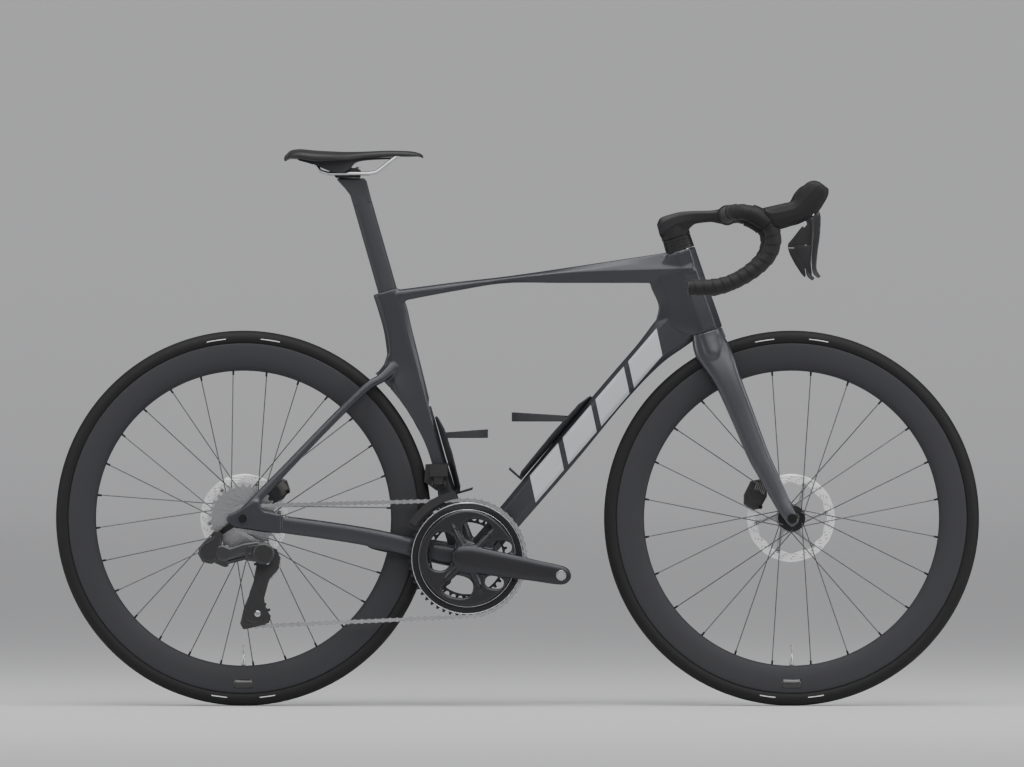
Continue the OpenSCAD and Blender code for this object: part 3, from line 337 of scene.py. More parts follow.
def ring_of(centre: Sequence[float], r: float, bore: float, y0: float, y1: float, edge: float = 0.6,
            segments: int = 64) -> Mesh:
    """A ring or washer on a Y axle with small chamfers."""
    lo, hi = min(y0, y1), max(y0, y1)
    return revolved([(bore, lo), (r - edge, lo), (r, lo + edge), (r, hi - edge), (r - edge, hi), (bore, hi)],
                    centre, segments)


def circle(centre: Sequence[float], r: float, count: int = 40) -> list[Point]:
    """Points round a circle in the side plane."""
    return [tuple(np.asarray(centre) + polar(r, 360.0 * k / count)) for k in range(count)]


def plate(outlines: Sequence[Sequence[Point]], y0: float, y1: float, bevel: float = 0.8, rounds: int = 2) -> Mesh:
    """A flat piece with rounded edges: the first outline is its edge and the others are holes.

    Args:
        outlines: loops of side-plane points.
        y0: one face's Y.
        y1: the other face's Y.
        bevel: radius of the rounded edges.
        rounds: steps in each rounded edge.

    Returns:
        The closed mesh.
    """
    curve = bpy.data.curves.new("plate", "CURVE")
    curve.dimensions = "2D"
    curve.fill_mode = "BOTH"
    half = abs(y1 - y0) / 2
    curve.extrude = max(half - bevel, 0.001)
    curve.bevel_depth = bevel
    curve.bevel_resolution = rounds
    curve.offset = -bevel
    for loop in outlines:
        spline = curve.splines.new("POLY")
        spline.points.add(len(loop) - 1)
        for point, (x, z) in zip(spline.points, loop):
            point.co = (x, z, 0.0, 1.0)
        spline.use_cyclic_u = True
    obj = bpy.data.objects.new("plate", curve)
    bpy.context.scene.collection.objects.link(obj)
    depsgraph = bpy.context.evaluated_depsgraph_get()
    mesh = bpy.data.meshes.new_from_object(obj.evaluated_get(depsgraph))
    bm = bmesh.new()
    bm.from_mesh(mesh)
    bmesh.ops.remove_doubles(bm, verts=bm.verts, dist=1e-4)
    bmesh.ops.recalc_face_normals(bm, faces=bm.faces)
    verts = np.array([(v.co.x, (y0 + y1) / 2 + v.co.z, v.co.y) for v in bm.verts])
    bm.verts.index_update()
    faces = [tuple(v.index for v in f.verts) for f in bm.faces]
    bm.free()
    bpy.data.objects.remove(obj)
    bpy.data.curves.remove(curve)
    bpy.data.meshes.remove(mesh)
    return verts, faces


def moulded(name: str, parts: Iterable[Mesh], voxel: float, smoothing: int) -> bpy.types.Object:
    """Fuses closed meshes into one moulded piece with soft inner corners.

    Args:
        name: the piece's name.
        parts: closed meshes that overlap.
        voxel: size of the remesh grid.
        smoothing: passes of smoothing, which set how round the corners are.

    Returns:
        The new object.
    """
    obj = new_object(name, *joined(parts))
    remesh = obj.modifiers.new("fuse", "REMESH")
    remesh.mode = "VOXEL"
    remesh.voxel_size = voxel * MM
    remesh.use_smooth_shade = True
    if smoothing:
        ease = obj.modifiers.new("ease", "SMOOTH")
        ease.factor = 0.5
        ease.iterations = smoothing
    settle(obj)
    return obj


def settle(obj: bpy.types.Object) -> None:
    """Applies an object's modifiers to its mesh."""
    depsgraph = bpy.context.evaluated_depsgraph_get()
    mesh = bpy.data.meshes.new_from_object(obj.evaluated_get(depsgraph))
    mesh.name = obj.name
    obj.modifiers.clear()
    obj.data = mesh
    mesh.polygons.foreach_set("use_smooth", [True] * len(mesh.polygons))


def crisp(obj: bpy.types.Object, degrees: float = 35.0) -> bpy.types.Object:
    """Shades an object smoothly with sharp edges above an angle."""
    obj.data.set_sharp_from_angle(angle=math.radians(degrees))
    return obj


# ---------------------------------------------------------------- finishes


class Pattern(Enum):
    """Fine surface pattern of a finish."""

    GRAIN = "grain"
    WEAVE = "weave"
    PEBBLE = "pebble"
    BRUSHED = "brushed"
    DIMPLES = "dimples"


Socket = bpy.types.NodeSocket


class Nodes:
    """Short hand for building one node tree."""

    def __init__(self, tree: bpy.types.NodeTree) -> None:
        """Keeps the tree that nodes are added to."""
        self.tree = tree

    def add(self, kind: str, **values: object) -> bpy.types.Node:
        """Adds a node and sets its properties and inputs, where links are sockets."""
        node = self.tree.nodes.new(kind)
        for key, value in values.items():
            if hasattr(node, key) and key not in node.inputs:
                setattr(node, key, value)
            else:
                self.set(node.inputs[key], value)
        return node

    def set(self, target: Socket, value: object) -> None:
        """Links a socket or stores a constant."""
        if isinstance(value, bpy.types.NodeSocket):
            self.tree.links.new(value, target)
        else:
            target.default_value = value

    def math(self, op: str, a: Socket | float, b: Socket | float = 0.0, c: Socket | float = 0.0) -> Socket:
        """A math node's result."""
        node = self.tree.nodes.new("ShaderNodeMath")
        node.operation = op
        for target, value in zip(node.inputs, (a, b, c)):
            self.set(target, value)
        return node.outputs[0]

    def mix(self, factor: Socket | float, a: object, b: object) -> Socket:
        """Mixes two colours."""
        node = self.tree.nodes.new("ShaderNodeMix")
        node.data_type = "RGBA"
        for target, value in ((node.inputs[0], factor), (node.inputs[6], a), (node.inputs[7], b)):
            self.set(target, value)
        return node.outputs[2]

    def band(self, value: Socket, low: float, high: float, soft: float) -> Socket:
        """1 where a value lies between two limits, with soft edges."""
        ramps = []
        for limit, ends in ((low, (0.0, 1.0)), (high, (1.0, 0.0))):
            ramp = self.add("ShaderNodeMapRange", interpolation_type="SMOOTHSTEP")
            for target, v in zip(ramp.inputs, (value, limit - soft, limit + soft, *ends)):
                self.set(target, v)
            ramps.append(ramp.outputs[0])
        return self.math("MULTIPLY", *ramps)


BUMP_DEPTH = 0.0002
COAT_ROUGHNESS = 0.25
FLAKE_SCALE = 2600.0
FLAKE_COLOR = (0.55, 0.56, 0.6, 1.0)
NewGroup = tuple[bpy.types.NodeTree, Nodes, bpy.types.Node, bpy.types.Node]
Graphic = Callable[[Nodes], tuple[Socket, Color]]


def shader_group(name: str, inputs: dict[str, float], outputs: dict[str, str]) -> NewGroup | bpy.types.NodeTree:
    """Starts a named shader group, or returns the one that exists.

    Args:
        name: the group's name.
        inputs: float inputs with their defaults.
        outputs: outputs with their socket types.

    Returns:
        The existing group, or the new tree with its helper, input node and output node.
    """
    if name in bpy.data.node_groups:
        return bpy.data.node_groups[name]
    tree = bpy.data.node_groups.new(name, "ShaderNodeTree")
    for key, value in inputs.items():
        tree.interface.new_socket(key, in_out="INPUT", socket_type="NodeSocketFloat").default_value = value
    for key, kind in outputs.items():
        tree.interface.new_socket(key, in_out="OUTPUT", socket_type=kind)
    nodes = Nodes(tree)
    return tree, nodes, nodes.add("NodeGroupInput"), nodes.add("NodeGroupOutput")


def surface_group(pattern: Pattern) -> bpy.types.NodeTree:
    """Group that gives tone, roughness shift and height of a fine surface pattern."""
    made = shader_group(f"surface_{pattern.value}", {"Scale": 1.0}, {
        "Tone": "NodeSocketFloat", "Rough": "NodeSocketFloat", "Height": "NodeSocketFloat"})
    if isinstance(made, bpy.types.NodeTree):
        return made
    tree, n, given, out = made
    place = n.add("ShaderNodeTexCoord").outputs["Object"]
    scale = given.outputs["Scale"]
    cloud = n.add("ShaderNodeTexNoise", Vector=place, Scale=9.0, Detail=5.0, Roughness=0.6)
    fine = n.add("ShaderNodeTexNoise", Vector=place, Scale=n.math("MULTIPLY", scale, 900.0), Detail=3.0)
    if pattern is Pattern.GRAIN:
        height = fine.outputs[0]
    elif pattern is Pattern.PEBBLE:
        cells = n.add("ShaderNodeTexVoronoi", Vector=place, Scale=n.math("MULTIPLY", scale, 700.0),
                      feature="SMOOTH_F1")
        height = n.math("SUBTRACT", 1.0, cells.outputs["Distance"])
    elif pattern is Pattern.DIMPLES:
        cells = n.add("ShaderNodeTexVoronoi", Vector=place, Scale=n.math("MULTIPLY", scale, 260.0),
                      Randomness=0.0)
        height = n.band(cells.outputs["Distance"], -1.0, 0.28, 0.08)
    elif pattern is Pattern.BRUSHED:
        stretch = n.add("ShaderNodeMapping", Vector=place, Scale=(1.0, 40.0, 1.0))
        lines = n.add("ShaderNodeTexNoise", Vector=stretch.outputs[0], Scale=n.math("MULTIPLY", scale, 500.0),
                      Detail=2.0)
        height = lines.outputs[0]
    else:
        axes = n.add("ShaderNodeSeparateXYZ", Vector=place)
        step = n.math("MULTIPLY", scale, 500.0)
        u = n.math("MULTIPLY", n.math("ADD", axes.outputs[0], axes.outputs[2]), step)
        v = n.math("MULTIPLY", n.math("SUBTRACT", axes.outputs[2], axes.outputs[0]), step)
        warp = n.math("SINE", n.math("MULTIPLY", u, math.pi))
        weft = n.math("SINE", n.math("MULTIPLY", v, math.pi))
        twill = n.math("SINE", n.math("MULTIPLY", n.math("ADD", u, v), math.pi / 2))
        height = n.math("ADD", n.math("MULTIPLY", n.math("MULTIPLY", warp, weft), 0.5),
                        n.math("MULTIPLY", twill, 0.5))
    n.set(out.inputs["Tone"], cloud.outputs[0])
    n.set(out.inputs["Rough"], n.math("ADD", n.math("MULTIPLY", cloud.outputs[0], 0.7),
                                      n.math("MULTIPLY", fine.outputs[0], 0.3)))
    n.set(out.inputs["Height"], height)
    return tree


def wear_group() -> bpy.types.NodeTree:
    """Group that gives a broken mask along raised edges."""
    made = shader_group("edge_wear", {"Reach": 0.5}, {"Mask": "NodeSocketFloat"})
    if isinstance(made, bpy.types.NodeTree):
        return made
    tree, n, given, out = made
    point = n.add("ShaderNodeNewGeometry").outputs["Pointiness"]
    place = n.add("ShaderNodeTexCoord").outputs["Object"]
    breakup = n.add("ShaderNodeTexNoise", Vector=place, Scale=160.0, Detail=6.0, Roughness=0.7)
    start = n.math("SUBTRACT", 0.62, n.math("MULTIPLY", given.outputs["Reach"], 0.1))
    raised = n.math("MULTIPLY", n.math("SUBTRACT", point, start), 9.0)
    mask = n.math("MULTIPLY", n.math("MAXIMUM", raised, 0.0), breakup.outputs[0])
    n.set(out.inputs["Mask"], n.math("MINIMUM", mask, 1.0))
    return tree


@dataclass(frozen=True)
class Finish:
    """A material: its colour, gloss, fine pattern and wear."""

    name: str
    slot: str
    color: Color
    rough: float
    metal: float = 0.0
    coat: float = 0.0
    sheen: float = 0.0
    shine: float = 0.5
    pattern: Pattern = Pattern.GRAIN
    scale: float = 1.0
    relief: float = 0.1
    variety: float = 0.25
    wear: float = 0.0
    flake: float = 0.0
    decorate: Graphic | None = None

    def material(self) -> bpy.types.Material:
        """Returns the material, making it the first time."""
        if self.name in bpy.data.materials:
            return bpy.data.materials[self.name]
        made = bpy.data.materials.new(self.name)
        made.use_nodes = True
        n = Nodes(made.node_tree)
        shader = made.node_tree.nodes["Principled BSDF"]
        surface = n.add("ShaderNodeGroup", node_tree=surface_group(self.pattern), Scale=self.scale)
        dark = tuple(c * (1 - self.variety) for c in self.color)
        light = tuple(min(1.0, c * (1 + self.variety)) for c in self.color)
        color = n.mix(surface.outputs["Tone"], (*dark, 1.0), (*light, 1.0))
        if self.flake:
            place = n.add("ShaderNodeTexCoord").outputs["Object"]
            cells = n.add("ShaderNodeTexVoronoi", Vector=place, Scale=FLAKE_SCALE)
            sparkle = n.math("MULTIPLY", n.band(cells.outputs["Distance"], -1.0, 0.16, 0.05), self.flake)
            color = n.mix(sparkle, color, FLAKE_COLOR)
        if self.wear:
            worn = n.add("ShaderNodeGroup", node_tree=wear_group(), Reach=self.wear)
            bare = tuple(min(1.0, c * 2.2 + 0.08) for c in self.color)
            color = n.mix(n.math("MULTIPLY", worn.outputs["Mask"], self.wear), color, (*bare, 1.0))
        rough = n.math("MULTIPLY_ADD", surface.outputs["Rough"], 0.24 * self.rough, 0.88 * self.rough)
        if self.decorate:
            mask, paint = self.decorate(n)
            color = n.mix(mask, color, (*paint, 1.0))
        bump = n.add("ShaderNodeBump", Strength=min(1.0, self.relief * 4), Distance=BUMP_DEPTH,
                     Height=surface.outputs["Height"])
        for key, value in (("Base Color", color), ("Roughness", rough), ("Metallic", self.metal),
                           ("Specular IOR Level", self.shine), ("Coat Weight", self.coat),
                           ("Coat Roughness", COAT_ROUGHNESS), ("Sheen Weight", self.sheen),
                           ("Normal", bump.outputs[0])):
            n.set(shader.inputs[key], value)
        return made

    def coat_on(self, obj: bpy.types.Object) -> bpy.types.Object:
        """Gives an object this finish as its only material."""
        obj.data.materials.clear()
        obj.data.materials.append(self.material())
        return obj


FRAME_PAINT = Finish("frame_graphite", "frame_paint", (0.031, 0.032, 0.037), 0.38, metal=0.35, coat=0.25,
                     relief=0.03, variety=0.1, flake=0.12)
FORK_PAINT = Finish("fork_graphite", "fork_paint", (0.062, 0.063, 0.072), 0.34, metal=0.5, coat=0.3,
                    relief=0.03, variety=0.1, flake=0.2)
RIM_CARBON = Finish("rim_carbon", "rim_carbon", (0.008, 0.008, 0.0085), 0.46, shine=0.3,
                    pattern=Pattern.WEAVE, relief=0.03, variety=0.2)
TYRE_RUBBER = Finish("tyre_rubber", "tyre", (0.009, 0.009, 0.0092), 0.66, shine=0.28, relief=0.12, variety=0.2)
TYRE_MARK = Finish("tyre_mark", "tyre", (0.75, 0.75, 0.75), 0.6, relief=0.05, variety=0.05)
HOOD_RUBBER = Finish("hood_rubber", "black_rubber", (0.008, 0.008, 0.0085), 0.56, shine=0.32, pattern=Pattern.DIMPLES,
                     relief=0.2, variety=0.15)
BAR_WRAP = Finish("bar_wrap", "bar_tape", (0.008, 0.008, 0.0083), 0.6, shine=0.32, pattern=Pattern.PEBBLE, relief=0.22,
                  variety=0.25, sheen=0.1)
SADDLE_COVER = Finish("saddle_cover", "saddle_cover", (0.008, 0.008, 0.0083), 0.5, shine=0.35, pattern=Pattern.PEBBLE,
                      scale=1.4, relief=0.12, variety=0.2)
CARBON = Finish("carbon_parts", "carbon_parts", (0.016, 0.016, 0.017), 0.42, pattern=Pattern.WEAVE, relief=0.04,
                coat=0.2, variety=0.2)
POST_PAINT = Finish("post_graphite", "carbon_parts", (0.035, 0.036, 0.04), 0.45, metal=0.2, relief=0.03,
                    variety=0.1)
BLACK_ALLOY = Finish("black_alloy", "black_alloy", (0.018, 0.018, 0.019), 0.4, metal=0.6, relief=0.05, wear=0.5)
CRANK_ALLOY = Finish("crank_alloy", "crank_alloy", (0.035, 0.035, 0.038), 0.36, metal=0.7, relief=0.04, wear=0.6)
HOUSING = Finish("black_housing", "component_black", (0.015, 0.015, 0.016), 0.34, relief=0.05, coat=0.2, wear=0.2)
BRIGHT_STEEL = Finish("bright_steel", "steel", (0.55, 0.55, 0.56), 0.26, metal=1.0, pattern=Pattern.BRUSHED,
                      relief=0.05, variety=0.15)
ROTOR_STEEL = Finish("rotor_steel", "steel", (0.86, 0.86, 0.87), 0.32, metal=0.4, pattern=Pattern.BRUSHED,
                     relief=0.06, variety=0.1)
SPOKE_STEEL = Finish("spoke_steel", "spoke_steel", (0.07, 0.07, 0.073), 0.4, metal=0.8, relief=0.04)
PAD_METAL = Finish("pad_metal", "pad_metal", (0.28, 0.26, 0.24), 0.5, metal=0.8, relief=0.15, wear=0.3)
PANEL_GLOSS = Finish("panel_gloss", "rim_carbon", (0.006, 0.006, 0.0065), 0.16, coat=0.8, relief=0.02, variety=0.1)
ROTOR_SPIDER = Finish("rotor_spider", "steel", (0.5, 0.5, 0.51), 0.34, metal=0.9, pattern=Pattern.BRUSHED,
                      relief=0.05, variety=0.1)
MATT_SHELL = Finish("matt_shell", "black_alloy", (0.011, 0.011, 0.012), 0.46, shine=0.35, relief=0.04, variety=0.12)
LEVER_GLOSS = Finish("lever_gloss", "component_black", (0.1, 0.1, 0.105), 0.24, metal=0.9, coat=0.3,
                     relief=0.03, wear=0.2)
PADDLE_GREY = Finish("paddle_grey", "component_black", (0.02, 0.02, 0.021), 0.38, metal=0.3, relief=0.05,
                     wear=0.3)
LINK_GREY = Finish("link_grey", "component_black", (0.05, 0.05, 0.054), 0.3, metal=0.6, coat=0.3,
                   relief=0.03, wear=0.2)
RING_DARK = Finish("ring_dark", "crank_alloy", (0.03, 0.03, 0.032), 0.38, metal=0.8, relief=0.05, wear=0.4)

PACKED_FINISHES: dict[str, Finish] = {
    "frame_paint": FRAME_PAINT, "fork_paint": FORK_PAINT, "rim_carbon": RIM_CARBON, "tyre": TYRE_RUBBER,
    "black_rubber": HOOD_RUBBER, "bar_tape": BAR_WRAP, "saddle_cover": SADDLE_COVER, "carbon_parts": CARBON,
    "black_alloy": BLACK_ALLOY, "crank_alloy": CRANK_ALLOY, "component_black": HOUSING, "steel": BRIGHT_STEEL,
    "spoke_steel": SPOKE_STEEL, "pad_metal": PAD_METAL}


# ---------------------------------------------------------------- assembly of pieces


@dataclass
class Assembly:
    """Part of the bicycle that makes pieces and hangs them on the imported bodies."""

    layout: Layout

    def add(self, obj: bpy.types.Object, finish: Finish, body: str, *nodes: str) -> bpy.types.Object:
        """Dresses a piece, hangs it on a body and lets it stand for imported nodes.

        Args:
            obj: the piece.
            finish: its finish.
            body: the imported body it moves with.
            nodes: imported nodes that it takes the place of.

        Returns:
            The piece.
        """
        finish.coat_on(obj)
        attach(obj, body)
        if nodes:
            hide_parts(*nodes)
        LOG.info("%s on %s", obj.name, body)
        return obj

    def make(self, name: str, parts: Iterable[Mesh], finish: Finish, body: str, *nodes: str,
             sharp: float | None = SHARP_EDGE) -> bpy.types.Object:
        """Makes one piece from meshes and adds it.

        Args:
            name: the piece's name.
            parts: its meshes.
            finish: its finish.
            body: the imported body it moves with.
            nodes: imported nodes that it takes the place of.
            sharp: angle above which its edges are sharp, or None for smooth ones.

        Returns:
            The piece.
        """
        obj = new_object(name, *joined(parts))
        return self.add(obj if sharp is None else crisp(obj, sharp), finish, body, *nodes)


def ribbed(lines: Sequence[Sequence[tuple[float, float, float]]], steps: int = 8) -> Mesh:
    """Lofts a shape that is the same on both sides of Y 0 between lines that run along it.

    Args:
        lines: from the upper edge to the lower one, each a row of (x, z, half width).
        steps: rings between each pair of points on a line.

    Returns:
        The closed mesh.
    """
    curves = [eased(line, steps) for line in lines]
    rings = []
    for row in zip(*curves):
        left = [(x, w, z) for x, z, w in row]
        rings.append(np.array(left + [(x, -y, z) for x, y, z in reversed(left)]))
    return skin(rings)


def ribbed_on(place: Callable[[float, float], np.ndarray], ups: Sequence[float],
              edges: Sequence[tuple[Sequence[float], Sequence[float]]]) -> Mesh:
    """Lofts a two-sided shape along one of the layout's lines.

    Args:
        place: gives the side-plane place of a distance ahead of the line and a distance along it.
        ups: distances along the line.
        edges: from the front edge to the rear one, distances ahead of the line and half widths.

    Returns:
        The closed mesh.
    """
    return ribbed([[(*place(x, up), w) for x, up, w in zip(xs, ups, ws)] for xs, ws in edges])


def around(place: np.ndarray, points: Iterable[Sequence[float]], degrees: float = 0.0) -> list[Point]:
    """An outline drawn round a place, turned about it by an angle."""
    return [tuple(place + (turned(p, degrees) if degrees else p)) for p in points]


def shifted(mesh: Mesh, y: float) -> Mesh:
    """A mesh moved sideways."""
    return mesh[0] + (0.0, y, 0.0), mesh[1]


def cut_away(obj: bpy.types.Object, cutters: Sequence[Mesh]) -> bpy.types.Object:
    """Cuts closed meshes out of a piece."""
    for number, mesh in enumerate(cutters):
        tool = new_object(f"cutter_{number}", *mesh)
        cut = obj.modifiers.new("cut", "BOOLEAN")
        cut.operation = "DIFFERENCE"
        cut.solver = "EXACT"
        cut.object = tool
        settle(obj)
        bpy.data.objects.remove(tool)
    return obj


def disc(centre: Sequence[float], r: float, y0: float, y1: float, segments: int = 96) -> Mesh:
    """A plain closed disc on a Y axle."""
    a = np.linspace(0, 2 * math.pi, segments, endpoint=False)
    return skin([np.stack((centre[0] + r * np.cos(a), np.full(segments, y), centre[1] + r * np.sin(a)), axis=1)
                 for y in (y0, y1)])


def rod(p: Sequence[float], q: Sequence[float], r: float, sides: int = 16) -> Mesh:
    """A round rod between two 3D points."""
    return swept(np.array((p, q), float), r, sides)


def bolt(centre: Sequence[float], y: float, out: float, r: float, sides: int = 24) -> Mesh:
    """A socket head bolt on a Y axle, with a hexagon sunk in its head.

    Args:
        centre: place in the side plane.
        y: where the head starts.
        out: how far it stands, signed towards its face.
        r: radius of the head.
        sides: points round the head.

    Returns:
        The closed mesh.
    """
    a = np.linspace(0, 2 * math.pi, sides, endpoint=False)
    six = np.floor(a / (math.pi / 3)) * math.pi / 3
    rows = []
    for radius, up, t in ((r, 0.0, a), (r, 0.8, a), (r * 0.86, 1.0, a), (r * 0.52, 1.0, six), (r * 0.5, 0.3, six),
                          (0.01, 0.3, six)):
        rows.append(np.stack((centre[0] + radius * np.cos(t), np.full(sides, y + up * out),
                              centre[1] + radius * np.sin(t)), axis=1))
    return skin(rows)


@dataclass
class Frame(Assembly):
    """Moulded frame: one shell of tubes, stays and dropouts, in its own paint."""

    paint: Finish = FRAME_PAINT
    voxel: float = 1.9
    smoothing: int = 5
    tyre_room: float = 15.0
    tyre_half: float = 19.0
    shell_r: float = 25.5
    shell_half: float = 43.0
    cup_r: float = 20.6
    steerer_r: float = 17.0
    axle_r: float = 6.3
    post: Station = Station((0.0, 0.0), 35.6, 21.6, power=2.6)

    def top_tube(self) -> Mesh:
        """Top tube, slim behind and deep at the head, with two creases along each flank."""
        ahead = (-240, -190, -110, -22, 80, 180, 260, 318)
        edges = (
            ((751, 757.5, 768, 778, 792.5, 807.5, 819.5, 828.5), (9, 10, 11, 12, 12, 12, 12, 11)),
            ((747, 753, 763, 774.5, 786, 797, 801, 805), (13, 15, 17, 19, 20, 19, 19, 19)),
            ((742, 747.5, 758, 771.5, 783.5, 788, 790, 792), (14, 16, 18, 20, 22, 23, 24, 24)),
            ((726, 737, 752, 765.5, 766, 766, 766, 767), (12, 13, 14, 14, 15, 15, 15, 15)),
        )
        return ribbed([list(zip(ahead, heights, ws)) for heights, ws in edges])

    def down_tube(self) -> Mesh:
        """Down tube, with flat flanks and rounded shoulders, flaring into the head tube."""
        along = (-10, 120, 260, 400, 493, 553, 592)
        sides = (
            ((-22, -23, -26, -27, -27, -30, -24), (12, 12, 12, 12, 11, 10, 8)),
            ((-13, -14, -16, -17, -17, -18, -8), (22, 23, 23, 22, 21, 18.5, 16)),
            ((14, 14, 15, 13, 18, 30, 36), (22, 23, 23, 22, 21, 19, 17)),
            ((25, 26.5, 27, 24, 29, 43, 50), (11, 12, 12, 11, 10, 10, 9)),
        )
        return ribbed_on(self.layout.down, along, sides)

    def seat_tube(self) -> Mesh:
        """Seat tube, hollowed behind to follow the wheel and wider where the stays meet it."""
        up = (-8, 60, 120, 181, 240, 290, 330, 372, 430, 472, 505)
        sides = (
            ((24, 18, 14, 12, 12.5, 13, 14.5, 16, 18, 20, 13.5), (10, 9, 8, 8, 8, 8, 8, 8, 8, 9, 9)),
            ((14, 11, 7, 5, 6, 6, 6, 6, 6, 8, 5), (18, 16, 15, 15, 15, 15, 15, 15, 15, 15, 15)),
            ((-16, -18, -17, -12, -18, -30, -38, -36, -26, -24, -24), (18, 16, 15, 15, 16, 18, 18, 15, 14, 14, 14)),
            ((-25, -27, -22, -15, -20, -38, -49, -42, -33, -32, -33), (10, 8, 7, 7, 9, 12, 12, 8, 7, 7, 7)),
        )
        return ribbed_on(self.layout.seat, up, sides)

    def head_tube(self) -> Mesh:
        """Head tube round the steerer, with the webs that join it to the two tubes behind."""
        up = (368.5, 400, 440, 480, 505, 522.5)
        sides = (
            ((29, 28.5, 27, 26.3, 25.8, 25.5), (10, 9, 8, 8, 8, 9)),
            ((17, 16, 14, 14, 14, 14), (26, 23, 20.5, 20, 20, 20.5)),
            ((-8, -8, -8, -8, -8, -6), (28, 26, 24, 23, 23, 23)),
            ((-27, -52, -50, -52, -44, -24), (20, 19.5, 20, 20, 20, 20)),
            ((-29.5, -84, -69.5, -72, -58, -30), (10, 11, 12, 12, 12, 12)),
        )
        return ribbed_on(self.layout.steer, up, sides)

    def chainstay(self) -> Mesh:
        """Left chainstay from the dropout to the bottom bracket."""
        r, c = self.layout.rear, self.layout.crank
        rows = ((r + (-26, 0), 5, 6, 75.5), (r + (-17, -1), 20, 8, 75.5), (r + (20, -4), 27, 9, 75.3),
                (r + (62, -10), 30, 11, 70), (r + (150, -22), 31, 14, 54), (r + (230, -35), 32, 16, 38),
                (c + (-106, 21), 34, 17, 28.5),
                (c + (-50, 8), 38, 17, 27), (c + (0, 0), 40, 18, 30))
        return tube([Station(p, d, w, y, 3.0) for p, d, w, y in rows], sides=36)

    def seatstay(self) -> Mesh:
        """Left seatstay from the dropout up to the seat tube."""
        r = self.layout.rear
        rows = ((r + (-8, -2), 22, 8, 75.5), (r + (12, 20), 19, 8.5, 74), (r + (40, 51), 16.5, 9, 68),
                (r + (80, 93), 14.5, 10, 59), (r + (160, 176), 14.5, 11, 41), (r + (222, 236), 15, 12, 29),
                (self.layout.seat(-60, 356), 17, 15, 20), (self.layout.seat(-28, 372), 22, 16, 8))
        return tube([Station(p, d, w, y, 2.8) for p, d, w, y in rows], sides=32)

    def dropout(self) -> Mesh:
        """Left dropout, the plate that carries the axle."""
        points = ((-29, 2), (-24, 8), (-10, 14), (8, 25), (22, 34), (31, 32), (33, 22), (40, 14), (70, 8),
                  (70, -27), (40, -25), (10, -20), (-14, -17), (-24, -11), (-29, -4))
        return plate([around(self.layout.rear, points)], 71.2, 79.8, 2.5, 3)

    def bridge(self) -> Mesh:
        """Block that ties the two seatstays to the seat tube above the wheel."""
        points = ((-177, 328), (-161, 338), (-151, 351), (-143, 376), (-109, 376), (-88, 310), (-166, 310))
        return plate([around(self.layout.crank, points)], -13, 13, 5, 4)

    def build(self) -> None:
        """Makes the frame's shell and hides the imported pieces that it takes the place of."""
        lay = self.layout
        parts = [self.top_tube(), self.down_tube(), self.seat_tube(), self.head_tube(), self.bridge(),
                 ring_of(lay.crank, self.shell_r, 12.0, -self.shell_half, self.shell_half, 1.5)]
        for side in BOTH:
            parts += [on_side(made, side) for made in (self.chainstay(), self.seatstay(), self.dropout())]
        shell = moulded("frame_shell", parts, self.voxel, self.smoothing)
        head_low, head_high = (spread(lay.steer(0, u)) for u in (340, 560))
        cut_away(shell, [
            disc(lay.rear, lay.wheel_r + self.tyre_room, -self.tyre_half, self.tyre_half),
            disc(lay.crank, self.cup_r, -60, 60, 48),
            rod(head_low, head_high, self.steerer_r, 32),
            tube([replace(self.post, place=lay.seat(-5.5, u)) for u in (300, 620)], 1, 32),
            disc(lay.rear, self.axle_r, -90, 90, 32),
        ])
        self.add(shell, self.paint, "frame", "front_triangle", "rear_stays")


@dataclass
class Fork(Assembly):
    """Fork: crown and two deep blades, with its steerer and axle caps."""

    voxel: float = 1.7
    smoothing: int = 5
    tyre_room: float = 9.0
    tyre_half: float = 18.5
    axle_r: float = 6.2
    steerer_r: float = 14.2

    def blade(self) -> Mesh:
        """Left blade from the crown to the dropout."""
        s = self.layout.steer
        rows = ((s(-2, 372), 52, 26, 10), (s(-2, 338), 64, 30, 15), (s(4, 308), 59, 25, 24), (s(9, 270), 48, 20, 31),
                (s(14.5, 205), 42.5, 17.5, 36), (s(20, 130), 38, 16, 42), (s(26, 90), 34, 15, 45.5),
                (s(33, 45), 29, 13, 50), (s(38.5, 14), 25.5, 12, 54), (s(43.5, -8), 20, 11, 55.6),
                (s(45, -13), 10, 9, 55.6))
        return tube([Station(p, d, w, y, 2.7) for p, d, w, y in rows], sides=36)

    def build(self) -> None:
        """Makes the fork and its axle."""
        lay = self.layout
        s = lay.steer
        crown = tube([Station(s(0, u), 2 * d, 2 * w, power=2.2) for u, d, w in (
            (368, 28.5, 28), (360, 29, 29), (345, 30, 33), (325, 28, 36), (300, 20, 32))], sides=48, lean=HEAD_LEAN)
        parts = [crown, *(on_side(self.blade(), side) for side in BOTH)]
        shell = moulded("fork_shell", parts, self.voxel, self.smoothing)
        cut_away(shell, [disc(lay.front, lay.wheel_r + self.tyre_room, -self.tyre_half, self.tyre_half),
                         disc(lay.front, self.axle_r, -80, 80, 32), rod(spread(s(0, 300)), spread(s(0, 350)), 11, 24)])
        self.add(shell, FORK_PAINT, "steering", "fork")
        steerer = rod(spread(s(0, 350)), spread(s(0, 588)), self.steerer_r, 40)
        self.make("steerer", [steerer], CARBON, "steering")
        caps = [ring_of(lay.front, 9, 3.0, y0, y1, 0.8) for y0, y1 in ((-62.2, -60.8), (60.8, 63.5))]
        self.make("fork_axle_caps", caps, BLACK_ALLOY, "steering")


